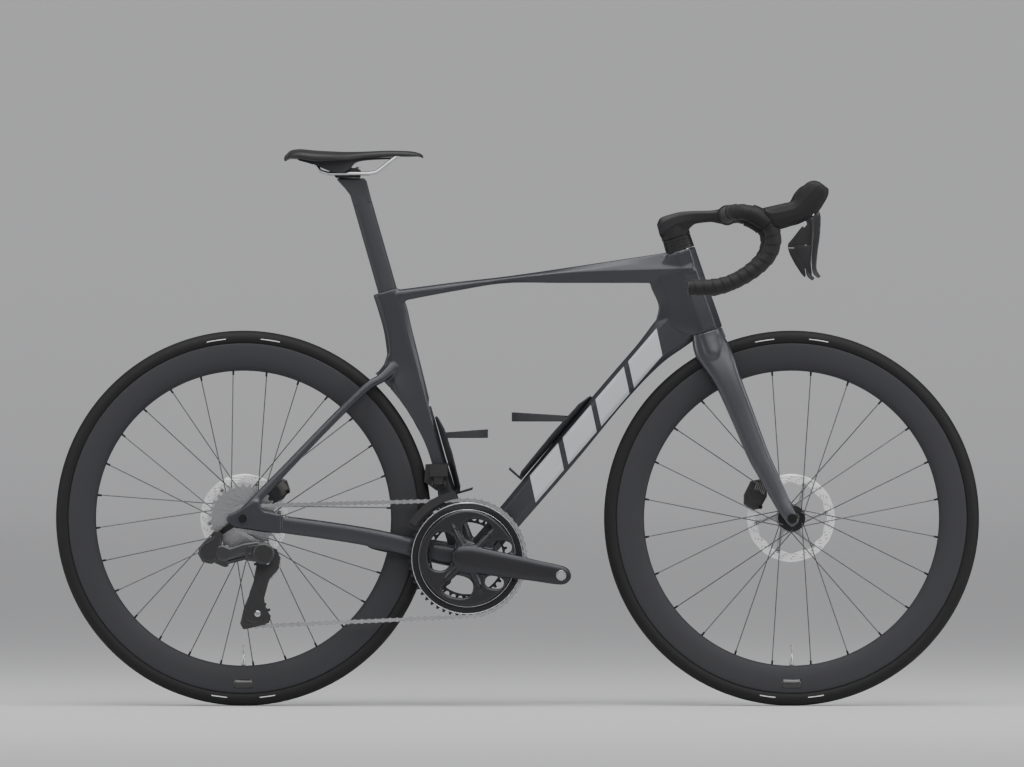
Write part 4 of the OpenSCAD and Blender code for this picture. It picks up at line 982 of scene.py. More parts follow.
@dataclass
class Wheel(Assembly):
    """One wheel: tyre, rim, nipples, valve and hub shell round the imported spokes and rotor."""

    end: str = "front"
    spokes: int = 24
    start: float = 97.5
    flange_low: float = -33.0
    flange_high: float = 20.0
    rotor_y: float = 38.0
    low_end: float = -49.5
    high_end: float = 37.5
    flange_r: float = 24.0
    edge_r: float = 317.0
    bed_r: float = 267.0
    tyre_half: float = 13.9
    dash_radii: tuple[float, ...] = (325.0, 325.7, 326.4)
    nipple_r: float = 1.9
    spoke_circle_r: float = 22.0
    spoke_lead: float = 58.0
    rotor_r: float = 79.6
    track_r: float = 63.5
    track_half: float = 0.88
    spider_half: float = 1.0

    @property
    def axle(self) -> np.ndarray:
        """The wheel's axle."""
        return self.layout.at(f"{self.end}_wheel_spin")

    @property
    def body(self) -> str:
        """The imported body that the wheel's pieces ride on."""
        return f"{self.end}_wheel"

    def tyre(self) -> None:
        """Tyre with a fine tread line, a bead and generic pale dashes on its sidewalls."""
        mid, half = self.layout.wheel_r - 14.0, self.tyre_half
        outer = [(mid + half * math.cos(a), half * math.sin(a)) for a in np.linspace(-2.3, 2.3, 40)]
        outer = [(r + (0.0 if abs(y) > 1 else 0.08), y) for r, y in outer]
        inner = [(mid + 11 * math.cos(a), 11 * math.sin(a)) for a in np.linspace(2.0, -2.0, 16)]
        bead = self.edge_r - 4
        casing = revolved(outer + [(bead, 9.5)] + inner + [(bead, -9.5)], self.axle, 180)
        self.make(f"{self.end}_tyre_casing", [casing], TYRE_RUBBER, self.body, f"{self.end}_tyre", sharp=None)
        edge = [(r, math.sqrt(half * half - (r - mid) ** 2)) for r in self.dash_radii]
        section = [(r, y + 0.12) for r, y in edge] + [(r, y - 0.3) for r, y in reversed(edge)]
        dashes = []
        for centre, reach, gap in ((90.0, 11.7, 5.6), (-90.0, 10.2, 5.2)):
            for way in (-1, 1):
                angles = np.linspace(centre + way * gap, centre + way * reach, 14)
                dashes += [self.arc(section, angles, side) for side in BOTH]
        self.make(f"{self.end}_tyre_dashes", dashes, TYRE_MARK, self.body, sharp=None)

    def arc(self, section: Sequence[Point], angles: Iterable[float], side: Side) -> Mesh:
        """Sweeps a section of (radius, y) points round part of the wheel."""
        return skin([np.array([spread(self.axle + polar(r, a), side.value * y) for r, y in section]) for a in angles])

    def rim(self) -> None:
        """Deep rim, its spoke nipples, and a plain glossy panel beside the valve."""
        e, b = self.edge_r, self.bed_r
        half = [(b, 0.0), (b + 0.6, 4.0), (b + 3.5, 7.4), (b + 9, 9.9), (b + 18, 12.0), (b + 28, 13.0), (b + 40, 12.9),
                (e - 2, 12.6), (e, 12.0), (e, 10.9), (e - 6, 10.7)]
        profile = half + [(r, -y) for r, y in reversed(half[1:])]
        rim = revolved(profile, self.axle, 192)
        self.make(f"{self.end}_rim_shell", [rim], RIM_CARBON, self.body, f"{self.end}_rim", sharp=None)
        nipples = []
        for k in range(self.spokes):
            way = self.start + 360.0 * k / self.spokes
            trailing = (k // 2) % 2 == 0
            low = k % 2 == 0
            y = (self.flange_low if low else self.flange_high) * 0.055
            lead = self.spoke_lead if trailing else -self.spoke_lead
            hub = spread(self.axle + polar(self.spoke_circle_r, way + lead), y * 18)
            out = spread(self.axle + polar(b + 4, way))
            line = (hub - out) / np.linalg.norm(hub - out)
            nipples.append(swept(np.array((out, out + 9 * line, out + 11 * line)), self.nipple_r, 10))
        self.make(f"{self.end}_nipples", nipples, BLACK_ALLOY, self.body, sharp=None)
        section = ((292, 13.12), (299, 13.12), (308, 13.06), (308, 12.6), (299, 12.6), (292, 12.6))
        panel = [self.arc(section, np.linspace(-93.2, -86.8, 12), side) for side in BOTH]
        self.make(f"{self.end}_rim_panel", panel, PANEL_GLOSS, self.body, sharp=None)

    def valve(self) -> None:
        """Valve stem with its lock ring and knurled tip, pointing up from the lowest point of the rim."""
        a = np.linspace(0, 2 * math.pi, 20, endpoint=False)
        rings = []
        for r, thick in ((269, 3.1), (267, 3.1), (265.5, 4.2), (263, 4.2), (262.4, 3.0), (250, 3.0), (249, 2.6),
                         (240, 2.6), (239.5, 1.6), (236, 1.6), (235.4, 2.4), (231, 2.4), (230, 1.2)):
            centre = spread(self.axle + polar(r, -90.0))
            rings.append(centre + thick * np.stack((np.cos(a), np.sin(a), 0 * a), axis=1))
        self.make(f"{self.end}_valve", [skin(rings)], BRIGHT_STEEL, self.body)

    def hub(self) -> None:
        """Hub shell with its waist and flanges, and the rotor's lock ring."""
        lo, hi = self.flange_low, self.flange_high
        big, mid = self.flange_r, (lo + hi) / 2
        profile = [(6.3, self.low_end), (9.4, self.low_end), (9.4, lo - 6), (13.5, lo - 5), (15, lo - 2), (big, lo - 1),
                   (big, lo + 1), (16, lo + 3), (12.5, lo + 9), (11.5, mid), (12.5, hi - 9), (16, hi - 3),
                   (big, hi - 1), (big, hi + 1), (17, hi + 2.5), (13.5, hi + 6), (12.8, self.high_end),
                   (9.4, self.high_end),
                   (9.4, self.high_end + 12), (6.3, self.high_end + 12)]
        hub = revolved(profile, self.axle, 72)
        self.make(f"{self.end}_hub_shell", [hub], BLACK_ALLOY, self.body, f"{self.end}_hub", sharp=50.0)
        y = self.rotor_y
        lock = [ring_of(self.axle, 21, 12.9, y + 1.2, y + 3.6, 0.8)]
        for k in range(16):
            a = 360.0 * k / 16
            lock.append(plate([[tuple(self.axle + polar(rr, a + d)) for rr, d in
                                ((19.5, -5), (23, -3.5), (23, 3.5), (19.5, 5))]], y + 1.3, y + 3.3, 0.3, 1))
        self.make(f"{self.end}_rotor_lockring", lock, BLACK_ALLOY, self.body)

    def rotor(self) -> None:
        """Brake rotor: a vented steel track on a spider no thicker than the gap between the pads."""
        c, y = self.axle, self.rotor_y
        outline, inner = ([tuple(c + polar(r + wave * math.cos(math.radians(12 * a)), a)) for a in range(0, 360, 2)]
                          for r, wave in ((self.rotor_r, 0.25), (self.track_r, 1.6)))
        holes = []
        for k in range(24):
            for r, turn in ((74.5, 0.0), (70.5, 3.5), (66.8, 7.0)):
                way = 15 * k + turn
                slot = [polar(1.0, 30 * j) * (3.0, 1.25) for j in range(12)]
                holes.append(around(c + polar(r, way), slot, way + 62))
        track = plate([outline, inner, *holes], y - self.track_half, y + self.track_half, 0.15, 1)
        self.make(f"{self.end}_rotor_track", [track], ROTOR_STEEL, self.body, f"{self.end}_rotor")
        arms = []
        for k in range(6):
            a = 60 * k
            points = [polar(r, a + turn) for r, turn in ((24, -17), (45, -3), (64.5, 5), (65.5, 13), (47, 8), (31, 6),
                                                         (24, 17))]
            low, high = y - self.spider_half, y + self.spider_half
            arms.append(plate([around(c, points)], low, high, 0.3, 2))
            arms.append(ring_of(c + polar(65, a + 9), 3.4, 0.6, low, high, 0.3, 20))
        arms.append(ring_of(c, 27, 17.6, y - 1.4, y + 1.4, 0.4, 64))
        self.make(f"{self.end}_rotor_spider", arms, ROTOR_SPIDER, self.body)

    def build(self) -> None:
        """Makes the wheel's pieces."""
        self.tyre()
        self.rim()
        self.valve()
        self.hub()
        self.rotor()


@dataclass
class Cockpit(Assembly):
    """Stem, spacers, handlebar, wrapped tape, lever hoods, brake levers and shift paddles."""

    reach: float = 79.0
    drop: float = 133.0
    half_w: float = 205.0
    tube_r: float = 12.0
    sleeve_r: float = 15.8
    tape_r: float = 13.7
    tape_step: float = 1.25
    tape_pitch: float = 17.0
    clamp_r: float = 18.5
    clamp_half: float = 26.0
    pin_r: float = 2.4
    pin_half: float = 11.0
    paddle_offsets: tuple[float, float] = (-4.9, 0.9)
    shape: tuple[tuple[float, float, float], ...] = (
        (0, -150, 0), (0, -90, 0), (0.03, -36, 0.01), (0.18, -10, 0.02), (0.42, -1, 0.01), (0.68, 0, -0.05),
        (0.91, 0, -0.16), (1, 0, -0.34), (0.92, 0, -0.53), (0.70, 0, -0.69), (0.38, 0, -0.83),
        (0, 0, -0.94), (-0.38, 0, -0.99), (-0.92, 0, -1))

    def path(self, steps: int = 10) -> np.ndarray:
        """Middle line of the left half of the bar."""
        b = self.layout.bar
        return eased([(b[0] + x * self.reach, self.half_w + y, b[1] + z * self.drop) for x, y, z in self.shape], steps)

    def stem(self) -> None:
        """Stem with its clamp round the steerer, a smooth neck, and the cover that closes its top."""
        s, b = self.layout.steer, self.layout.bar
        rows = (((252.5, 872, 13), (259, 884, 14), (277, 890.5, 16), (296, 895, 18), (318, 896.5, 19), (337, 897, 20),
                 (352, 897.5, 21), (366, 900, 22), (381, 904, 22)),
                ((254, 866, 20), (262, 876, 21), (279, 884, 21), (297, 889, 21), (318, 892, 22), (337, 892.5, 23),
                 (352, 893, 25), (366, 895, 26), (384, 899, 26)),
                ((257, 853, 21), (272, 862, 22), (286, 872, 22), (300, 876, 22), (318, 878, 22), (337, 880, 23),
                 (352, 882, 25), (370, 880, 26), (388, 880, 26)),
                ((260, 848, 14), (285, 853, 15), (306, 860, 16), (314, 867, 17), (322, 873, 18), (337, 875.5, 19),
                 (352, 876.5, 20), (368, 873.5, 21), (382, 873.5, 21)))
        off = np.array((float(b[0]) - 380.05, float(b[1]) - 889.09, 0.0))
        neck = ribbed([[tuple(np.array(p) + off) for p in line] for line in rows], 6)
        post = tube([Station(s(-1.3, u), 53, 43, power=2.4) for u in (547.5, 556, 568, 580)], 4, 48,
                    lean=HEAD_LEAN)
        clamp = rod(spread(b, -self.clamp_half), spread(b, self.clamp_half), self.clamp_r, 48)
        shell = moulded("stem_shell", [neck, post, clamp], 1.3, 4)
        self.add(shell, MATT_SHELL, "steering", "stem")

    def spacers(self) -> None:
        """Four spacers that follow the stem's aero outline under it."""
        s = self.layout.steer
        parts = []
        for k in range(4):
            low, deep = 523.5 + 6 * k, 53 - 0.4 * k
            parts.append(tube([Station(s(-1.3, low + u), deep - c, 43.5 - c, power=2.4) for u, c in (
                (0.05, 0.5), (0.2, 0), (5.75, 0), (5.9, 0.5))], 1, 56, lean=HEAD_LEAN))
        self.make("stem_spacers", parts, MATT_SHELL, "steering", "headset_spacers", sharp=50.0)

    def bar(self) -> None:
        """Bare middle of the handlebar, and the thicker sleeve that the stem holds."""
        half = self.path(6)
        whole = swept(np.vstack((half[::-1] * (1, -1, 1), half)), self.tube_r, 24)
        self.make("handlebar_tube", [whole], CARBON, "steering", "handlebar", sharp=None)
        x, z = self.layout.bar
        reach, taper, low = 70, 30, self.tube_r + 0.2

        def bulge(s: float, a: np.ndarray) -> np.ndarray:
            """Radii that swell from the tube to the sleeve's middle."""
            share = min(1.0, max(0.0, (reach - abs(s - reach)) / taper))
            return np.full(len(a), low + (self.sleeve_r - low) * share)

        sleeve = swept(np.array([(x, y, z) for y in np.linspace(-reach, reach, 29)]), bulge, 32)
        self.make("handlebar_sleeve", [sleeve], CARBON, "steering", sharp=None)

    def tape(self) -> None:
        """Tape wound along each side with an overlapped edge at every turn, and its end plug."""
        for side in BOTH:
            p = self.path(26)[40:]

            def wrap(s: float, a: np.ndarray) -> np.ndarray:
                """Radii that climb over each turn and drop at its edge."""
                turn = np.mod(s / self.tape_pitch + a / (2 * math.pi), 1.0)
                return self.tape_r + self.tape_step * np.minimum(turn / 0.86, (1 - turn) / 0.14)

            name = side.name.lower()
            nodes = ("bar_tape",) if side is Side.RIGHT else ()
            self.make(f"{name}_bar_wrap", [on_side(swept(p, wrap, 36), side)], BAR_WRAP, "steering", *nodes, sharp=None)
            end, back = p[-1], p[-1] - p[-4]
            back /= np.linalg.norm(back)
            plug = swept(np.array([end - 0.5 * back, end + 1.2 * back, end + 2.4 * back]),
                         lambda s, a: np.full(len(a), 13.4 if s < 2 else 10.5), 32)
            self.make(f"{name}_bar_plug", [on_side(plug, side)], HOUSING, "steering", sharp=None)

    def hood_lines(self) -> list[list[tuple[float, float, float]]]:
        """Lines along a hood from its top edge to its underside, ahead of and above the bar clamp."""
        top = ((61, 10), (76, 13.5), (96, 18), (112, 22), (120, 30), (127, 43), (138, 54.5), (150, 59), (161, 57))
        low = ((69, -8), (82, -26), (99, -23.5), (121, -17), (138, -12), (156, -1), (169, 17), (177, 33), (178, 44))
        swell = (1.0, 1.05, 1.06, 1.02, 1.0, 1.0, 0.98, 0.9, 0.66)
        b = self.layout.bar
        rows = []
        for share, width in ((0.0, 7.5), (0.12, 13.0), (0.35, 16.6), (0.65, 16.6), (0.88, 13.5), (1.0, 8.0)):
            rows.append([(t[0] + (u[0] - t[0]) * share + b[0], t[1] + (u[1] - t[1]) * share + b[1], width * w)
                         for t, u, w in zip(top, low, swell)])
        return rows

    def levers(self) -> None:
        """Hoods, lever blades and paddles of both sides."""
        pivot = self.layout.lever
        blade_lines = (
            ((-5, 8, 4.5), (10, 6, 5.0), (14, -2, 5.2), (14.2, -20, 5.4), (12.2, -43, 5.6), (8.6, -70, 5.4),
             (6.8, -93, 5.0), (9, -103, 4.4), (14.5, -110.5, 3.4)),
            ((-6.5, 3, 5.2), (4, 1, 5.8), (8.5, -6, 5.9), (9, -20, 5.9), (7.2, -43, 5.9), (4.2, -70, 5.8),
             (3.2, -92, 5.4),
             (5.5, -105, 4.6), (12.5, -113, 3.4)),
            ((-7, -4, 4.6), (-1, -7, 4.8), (0.2, -14, 4.6), (0, -22, 4.4), (-0.2, -43, 4.2), (-2.1, -68, 4.0),
             (-2.6, -88, 3.8), (0.4, -106, 3.6), (10, -115, 3.0)))
        upper = ((-8, -15), (-3.4, -18), (-3.4, -54.2), (-35, -54.2), (-34, -47), (-24, -35), (-14, -22))
        lower = ((-34.6, -55.4), (-3.4, -55.4), (-3.4, -92), (-1.5, -106), (-4, -109), (-11, -101), (-22, -84),
                 (-31, -67))
        for side in BOTH:
            name = side.name.lower()
            hood = shifted(ribbed(self.hood_lines(), 8), self.half_w)
            collar = swept(self.path(8)[34:48], 17.0, 32)
            shell = moulded(f"{name}_hood_cover", [on_side(hood, side), on_side(collar, side)], 1.1, 3)
            mouth = around(pivot, ((-22, -36), (-19, 11), (60, 11), (60, -36)))
            slot = shifted(plate([mouth], -7.2, 7.2, 0.5, 1), self.half_w)
            cut_away(shell, [on_side(slot, side)])
            self.add(shell, HOOD_RUBBER, "steering", f"{name}_lever_hood")
            near, far = self.half_w - self.pin_half, self.half_w + self.pin_half
            pin = rod(spread(pivot, near), spread(pivot, far), self.pin_r)
            self.make(f"{name}_lever_pin", [on_side(pin, side)], BRIGHT_STEEL, "steering", sharp=None)
            lines = [[(pivot[0] + x, pivot[1] + z, w) for x, z, w in line] for line in blade_lines]
            blade = moulded(f"{name}_brake_blade", [on_side(shifted(ribbed(lines, 8), self.half_w), side)], 0.9, 3)
            self.add(blade, LEVER_GLOSS, f"{name}_brake_lever", f"{name}_brake_lever")
            for which, points in (("upshift", upper), ("downshift", lower)):
                near, far = (self.half_w + off for off in self.paddle_offsets)
                paddle = plate([around(pivot, points)], near, far, 1.2, 3)
                self.make(f"{name}_{which}_paddle", [on_side(paddle, side)], PADDLE_GREY, f"{name}_{which}",
                          f"{name}_{which}")

    def build(self) -> None:
        """Makes the cockpit's pieces."""
        self.stem()
        self.spacers()
        self.bar()
        self.tape()
        self.levers()


@dataclass
class Seat(Assembly):
    """Saddle with its base, seatpost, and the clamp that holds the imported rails."""

    length: float = 252.0
    width: float = 142.0
    jaw_inner: float = 13.5
    jaw_outer: float = 21.8
    yoke_half: float = 16.0

    @property
    def tail(self) -> np.ndarray:
        """Place level with the post's head, below the saddle's tail."""
        return self.layout.at("saddle_tilt") + (-116.5, 0.0)

    def saddle(self) -> None:
        """Saddle: a crowned cover over a stiff shell, with a channel down its middle and a rolled edge."""
        shares = np.array((0.0, 0.015, 0.05, 0.12, 0.22, 0.34, 0.46, 0.60, 0.76, 0.90, 0.97, 1.0))
        plan = np.interp(shares, (0, 0.03, 0.10, 0.22, 0.34, 0.46, 0.60, 0.78, 0.93, 0.985, 1),
                         (0.24, 0.41, 0.485, 0.49, 0.43, 0.31, 0.19, 0.145, 0.125, 0.085, 0.04)) * self.width
        crest = np.interp(shares, (0, 0.04, 0.11, 0.26, 0.42, 0.55, 0.70, 0.85, 0.96, 1),
                          (50.5, 61.5, 64.3, 61.3, 59.8, 60.2, 62.3, 62.2, 58.5, 52))
        under = np.interp(shares, (0, 0.04, 0.18, 0.30, 0.45, 0.60, 0.83, 0.93, 1),
                          (47, 44, 42, 43, 44, 46, 47.5, 46, 48.5))
        skirt = np.interp(shares, (0, 0.05, 0.2, 0.32, 0.44, 0.56, 0.8, 1), (8, 15, 24, 31, 27, 14, 12, 6))
        lines = []
        for u, fall, inner in ((0.0, 0.0, False), (0.18, 0.3, False), (0.45, 1.2, False), (0.75, 3.6, False),
                               (0.93, 7.0, False), (1.0, 12.0, False), (0.97, 1.0, True), (0.84, 0.9, True),
                               (0.5, 0.4, True), (0.0, 0.0, True)):
            rows = []
            for s, w, t, lo, sk in zip(shares, plan, crest, under, skirt):
                run = math.sin(math.pi * min(1.0, max(0.0, (s - 0.12) / 0.8)))
                groove = -2.4 * math.exp(-(u * w / 7.0) ** 2) * run
                if inner:
                    rim = max(lo - 2, t - sk)
                    z = rim + (lo + 3 - rim) * (1.0 - fall)
                else:
                    z = t - fall * min(1.0, w / 60 + 0.25) + groove
                rows.append((self.tail[0] + s * self.length, self.tail[1] + z, u * w))
            lines.append(rows)
        obj = new_object("saddle_pad", *ribbed(lines, 6))
        weld = obj.modifiers.new("weld", "WELD")
        weld.merge_threshold = 0.00005
        soft = obj.modifiers.new("round", "SUBSURF")
        soft.levels = soft.render_levels = 1
        settle(obj)
        self.add(obj, SADDLE_COVER, "saddle", "saddle")

    def shell(self) -> None:
        """Stiff base under the pad, seen from the side as a dark keel."""
        rows = ((0.10, 46, 44, 40), (0.18, 44, 38.5, 40), (0.24, 46, 33, 36), (0.30, 46, 27, 34), (0.36, 46, 21, 33),
                (0.42, 46, 20.5, 32), (0.47, 46, 27, 30), (0.51, 46, 39, 27), (0.60, 47.5, 44, 20), (0.80, 49, 46, 12))
        t, length = self.tail, self.length
        curves = [eased([(t[0] + s * length, t[1] + (top, low)[edge] + rise, w + wide) for s, top, low, w in rows], 5)
                  for edge, rise, wide in ((0, 0, 0), (1, 0, 1.5), (1, 0.6, -3.5), (0, -0.6, -4.5))]
        rings = [np.array([(x, w, z) for x, z, w in row]) for row in zip(*curves)]
        halves = [on_side(skin(rings), side) for side in BOTH]
        self.make("saddle_base", halves, CARBON, "saddle", sharp=60.0)

    def post(self) -> None:
        """Aero seatpost with a rounded head, and the clamp that holds the rails."""
        lay = self.layout
        head = lay.at("saddle_tilt")
        rows = [Station(lay.seat(-5.5, u), 35, 21, power=2.7) for u in (365, 480, 560, 630, 680)]
        top = ((28.5, 11), (33, 6), (43, -33), (9.5, -42), (3, -20), (-6, -8), (-21, 8), (-18.5, 12))
        parts = [tube(rows, 6, 48), plate([around(head, top)], -10.2, 10.2, 4.0, 4)]
        self.add(moulded("seatpost_shell", parts, 1.1, 4), POST_PAINT, "seatpost", "seatpost")
        low = [(-22, 11.5), (-9, 12.2), (12, 12.2), (20, 11.5), (22, 14), (22, 18.2), (-25, 18.2), (-25, 14)]
        high = [(-22, 20.2), (22, 20.2), (22.5, 25), (15, 29.6), (-15, 29.6), (-22.5, 25)]
        parts = [on_side(plate([around(head, loop)], self.jaw_inner, self.jaw_outer, 1.2, 3), side)
                 for side in BOTH for loop in (low, high)]
        for loop in (((-24, 13.6), (22, 13.6), (22, 18), (-24, 18)), ((-20, 21), (20, 21), (18, 27), (-18, 27))):
            parts.append(plate([around(head, loop)], -self.yoke_half, self.yoke_half, 1.0, 2))
        self.make("saddle_clamp_jaws", parts, BLACK_ALLOY, "saddle_clamp", "saddle_clamp", sharp=40.0)
        bolts = []
        for x in (-17.5, 17.5):
            for low_end, top_end, r in ((7, 31, 2.4), (28, 32, 4.2)):
                bolts.append(rod(spread(head + (x, low_end)), spread(head + (x, top_end)), r, 20))
        self.make("saddle_clamp_bolts", bolts, BRIGHT_STEEL, "saddle_clamp")

    def build(self) -> None:
        """Makes the seat's pieces."""
        self.saddle()
        self.shell()
        self.post()


@dataclass
class Crankset(Assembly):
    """Right and left crank arms with their spider, windows and bolts."""

    length: float = 172.5
    droop: float = 10.2
    arm_y: float = 66.0
    eye_r: float = 6.8
    bush_r: float = 9.2
    bush_bore: float = 6.6
    bolt_ways: tuple[float, ...] = (57.5, 124.5, 235.5, 302.5)

    def place(self, x: float, z: float) -> tuple[float, float]:
        """Place along the right crank, which droops ahead of the bottom bracket."""
        return tuple(self.layout.crank + turned((x, z), -self.droop))

    def arms(self) -> None:
        """Right arm that grows out of a wide four-armed spider, and the plain left arm."""
        windows = []
        for x, z, wide, tall, power in ((9, 52, 27, 21, 2.2), (-49, 4, 23, 35, 2.4), (-9, -53, 29, 20, 2.4),
                                        (59, 32, 17, 11, 2.6), (56, -34, 17, 11, 2.6)):
            windows.append([self.place(x + u, z + v) for u, v in oval(2 * wide, 2 * tall, power, 40)])
        rim = [self.place(*polar(86.5 + 1.2 * math.cos(math.radians(4 * a - 45)), a)) for a in range(0, 360, 3)]
        spider = plate([rim, *windows], -64.6, -53.5, 3.6, 4)
        rows = ((-27, 14, 11), (-18, 36, 14), (6, 47, 15.5), (50, 45.5, 15), (85, 42.5, 14.5), (130, 38, 13.6),
                (158, 36.5, 13), (176, 33, 12.8), (185, 24, 12), (190.4, 8, 10))
        arm = tube([Station(self.place(x, 0), d, w, -self.arm_y, 3.4) for x, d, w in rows], 6, 44)
        ridges = []
        for a in self.bolt_ways:
            line = [spread(self.place(*polar(r, a)), -y) for r, y in ((8, 61), (40, 61.5), (82, 58.5))]
            ridges.append(swept(eased(line, 6), lambda d, w: np.full(len(w), 10.5 - 0.085 * d), 20))
        right = moulded("right_crank", [spider, arm, *ridges, disc(self.layout.crank, 27, -70, -50, 64)], 1.2, 4)
        eye = self.place(self.length, 0)
        cut_away(right, [disc(eye, self.eye_r, -90, -50, 40)])
        self.add(right, CRANK_ALLOY, "crankset", "right_crank_arm")
        bush = ring_of(eye, self.bush_r, self.bush_bore, -73.3, -59.2, 0.5, 40)
        self.make("right_pedal_bush", [bush], BRIGHT_STEEL, "crankset")
        arm = tube([Station(self.place(-x, 0), d * 0.94, w, self.arm_y, 3.4) for x, d, w in rows[1:]], 6, 44)
        left = moulded("left_crank", [arm], 1.2, 4)
        eye = self.place(-self.length, 0)
        cut_away(left, [disc(eye, self.eye_r, 50, 90, 40)])
        self.add(left, CRANK_ALLOY, "crankset", "left_crank_arm")
        fittings = [ring_of(eye, self.bush_r, self.bush_bore, 59.2, 73.0, 0.5, 40),
                    ring_of(self.layout.crank, 13.5, 8.5, 71.5, 74.5, 0.8, 48)]
        self.make("left_crank_fittings", fittings, BLACK_ALLOY, "crankset")
        spindle = revolved([(9.2, -72.6), (16.5, -72.6), (17.5, -71.8), (17.5, -60), (12, -60), (12, 66), (9.2, 66)],
                           self.layout.crank, 64)
        self.make("crank_spindle", [spindle], BLACK_ALLOY, "crankset")
        bolts = [ring_of(self.place(*polar(55, a)), 5.2, 2.4, -66.4, -40, 0.6, 24) for a in self.bolt_ways]
        self.make("chainring_bolts", bolts, BLACK_ALLOY, "crankset")

    def rings(self) -> None:
        """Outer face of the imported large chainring: a dark band between two bright edges."""
        c = self.layout.crank
        band = plate([circle(c, 100.0, 180), circle(c, 86.5, 120)], -51.6, -49.0, 0.5, 2)
        self.make("large_ring_band", [band], RING_DARK, "crankset")
        lips = [plate([circle(c, outer, 180), circle(c, inner, 180)], -52.0, -49.0, 0.25, 1)
                for outer, inner in ((101.2, 99.4), (88.4, 87.0))]
        self.make("large_ring_edges", lips, BRIGHT_STEEL, "crankset")

    def build(self) -> None:
        """Makes the crankset's pieces."""
        self.arms()
        self.rings()


@dataclass
class RearDerailleur(Assembly):
    """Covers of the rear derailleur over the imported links, and its slim hanger."""

    def outer_y(self, node: str) -> float:
        """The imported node's outermost Y on the drive side."""
        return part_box(node)[0][1] / MM

    def hanger(self) -> None:
        """Slim hanger that comes out from under the dropout, and the ring of the mounting bolt."""
        r = self.layout.rear
        bolt_at = r + (-46.5, -33.5)
        arm = around(r, ((-8, 8), (10, -4), (-16, -16), (-38, -30), (-44, -24), (-30, -12), (-20, -4)))
        parts = [plate([arm], -79.2, -76.0, 1.0, 2), ring_of(bolt_at, 10.0, 4.2, -81, -75.5, 1.0, 48)]
        self.make("hanger_plate", parts, BLACK_ALLOY, "frame", "derailleur_hanger")
        self.make("hanger_bolt", [bolt(bolt_at, -82, -5, 7.2)], BLACK_ALLOY, "frame")

    def covers(self) -> None:
        """Rounded covers of the upper knuckle, the link and the lower knuckle."""
        r = self.layout.rear
        y = self.outer_y("rd_b_knuckle")
        knuckle = around(r, ((-78, -52), (-80, -64), (-72, -78), (-56, -82), (-44, -76), (-38, -62), (-36, -36),
                             (-46, -26), (-58, -34), (-70, -42)))
        self.cover("rd_upper_cover", [plate([knuckle], y + 0.3, y + 15, 6, 4)], HOUSING, "frame")
        y = self.outer_y("rd_outer_link")
        link = around(r, ((-47, -50), (-50, -62), (-44, -74), (-30, -76), (-4, -66), (22, -62), (36, -58), (38, -46),
                          (28, -40), (2, -44), (-22, -52), (-36, -46)))
        self.cover("rd_link_cover", [plate([link], y - 1.0, y + 8, 4, 4)], LINK_GREY, "rd_outer_link")
        y = self.outer_y("rd_p_knuckle")
        centre = self.layout.at("rd_cage_swing")
        knee = around(centre, ((-34, 8), (-30, 16), (-8, 19), (6, 18), (0, -16), (-20, -14), (-33, -6)))
        parts = [disc(centre, 19.5, y + 0.5, y + 12, 64), disc(centre, 17, y - 0.8, y + 2, 64),
                 plate([knee], y + 0.8, y + 12, 4, 4)]
        self.cover("rd_lower_cover", parts, HOUSING, "rd_p_knuckle")

    def cover(self, name: str, parts: Sequence[Mesh], finish: Finish, body: str) -> None:
        """Adds one moulded cover."""
        self.add(moulded(name, parts, 1.0, 3), finish, body)

    def cage(self) -> None:
        """Outer cage plate with a long opening, and the pulley bolts."""
        guide, tension = self.layout.at("guide_pulley_spin"), self.layout.at("tension_pulley_spin")
        y = self.outer_y("rd_cage")
        edge = around(tension, ((-29, -18), (-24, -22), (10, -20), (21, -16), (24, -4), (14, 10), (12, 28), (21, 62)))
        edge += around(guide, ((21, -14), (24, 6), (18, 22), (4, 27), (-12, 24), (-20, 8), (-19, -22)))
        edge += around(tension, ((-14, 40), (-22, 8)))
        window = around(tension, ((-20, -10), (-8, -15), (2, -14), (-6, -4), (-9, 14), (-6, 42), (-10, 44), (-17, 12)))
        slot = around(tension, ((4, 24), (12, 58), (8, 62), (0, 40)))
        cover = plate([edge, window, slot], y - 0.4, y + 1.8, 0.7, 3)
        self.make("rd_cage_cover", [cover], HOUSING, "rd_cage")
        bolts = [bolt(c, y - 0.2, -1.8, 5.5) for c in (guide, tension)]
        self.make("rd_pulley_bolts", bolts, BRIGHT_STEEL, "rd_cage")

    def build(self) -> None:
        """Makes the derailleur's covers."""
        self.hanger()
        self.covers()
        self.cage()


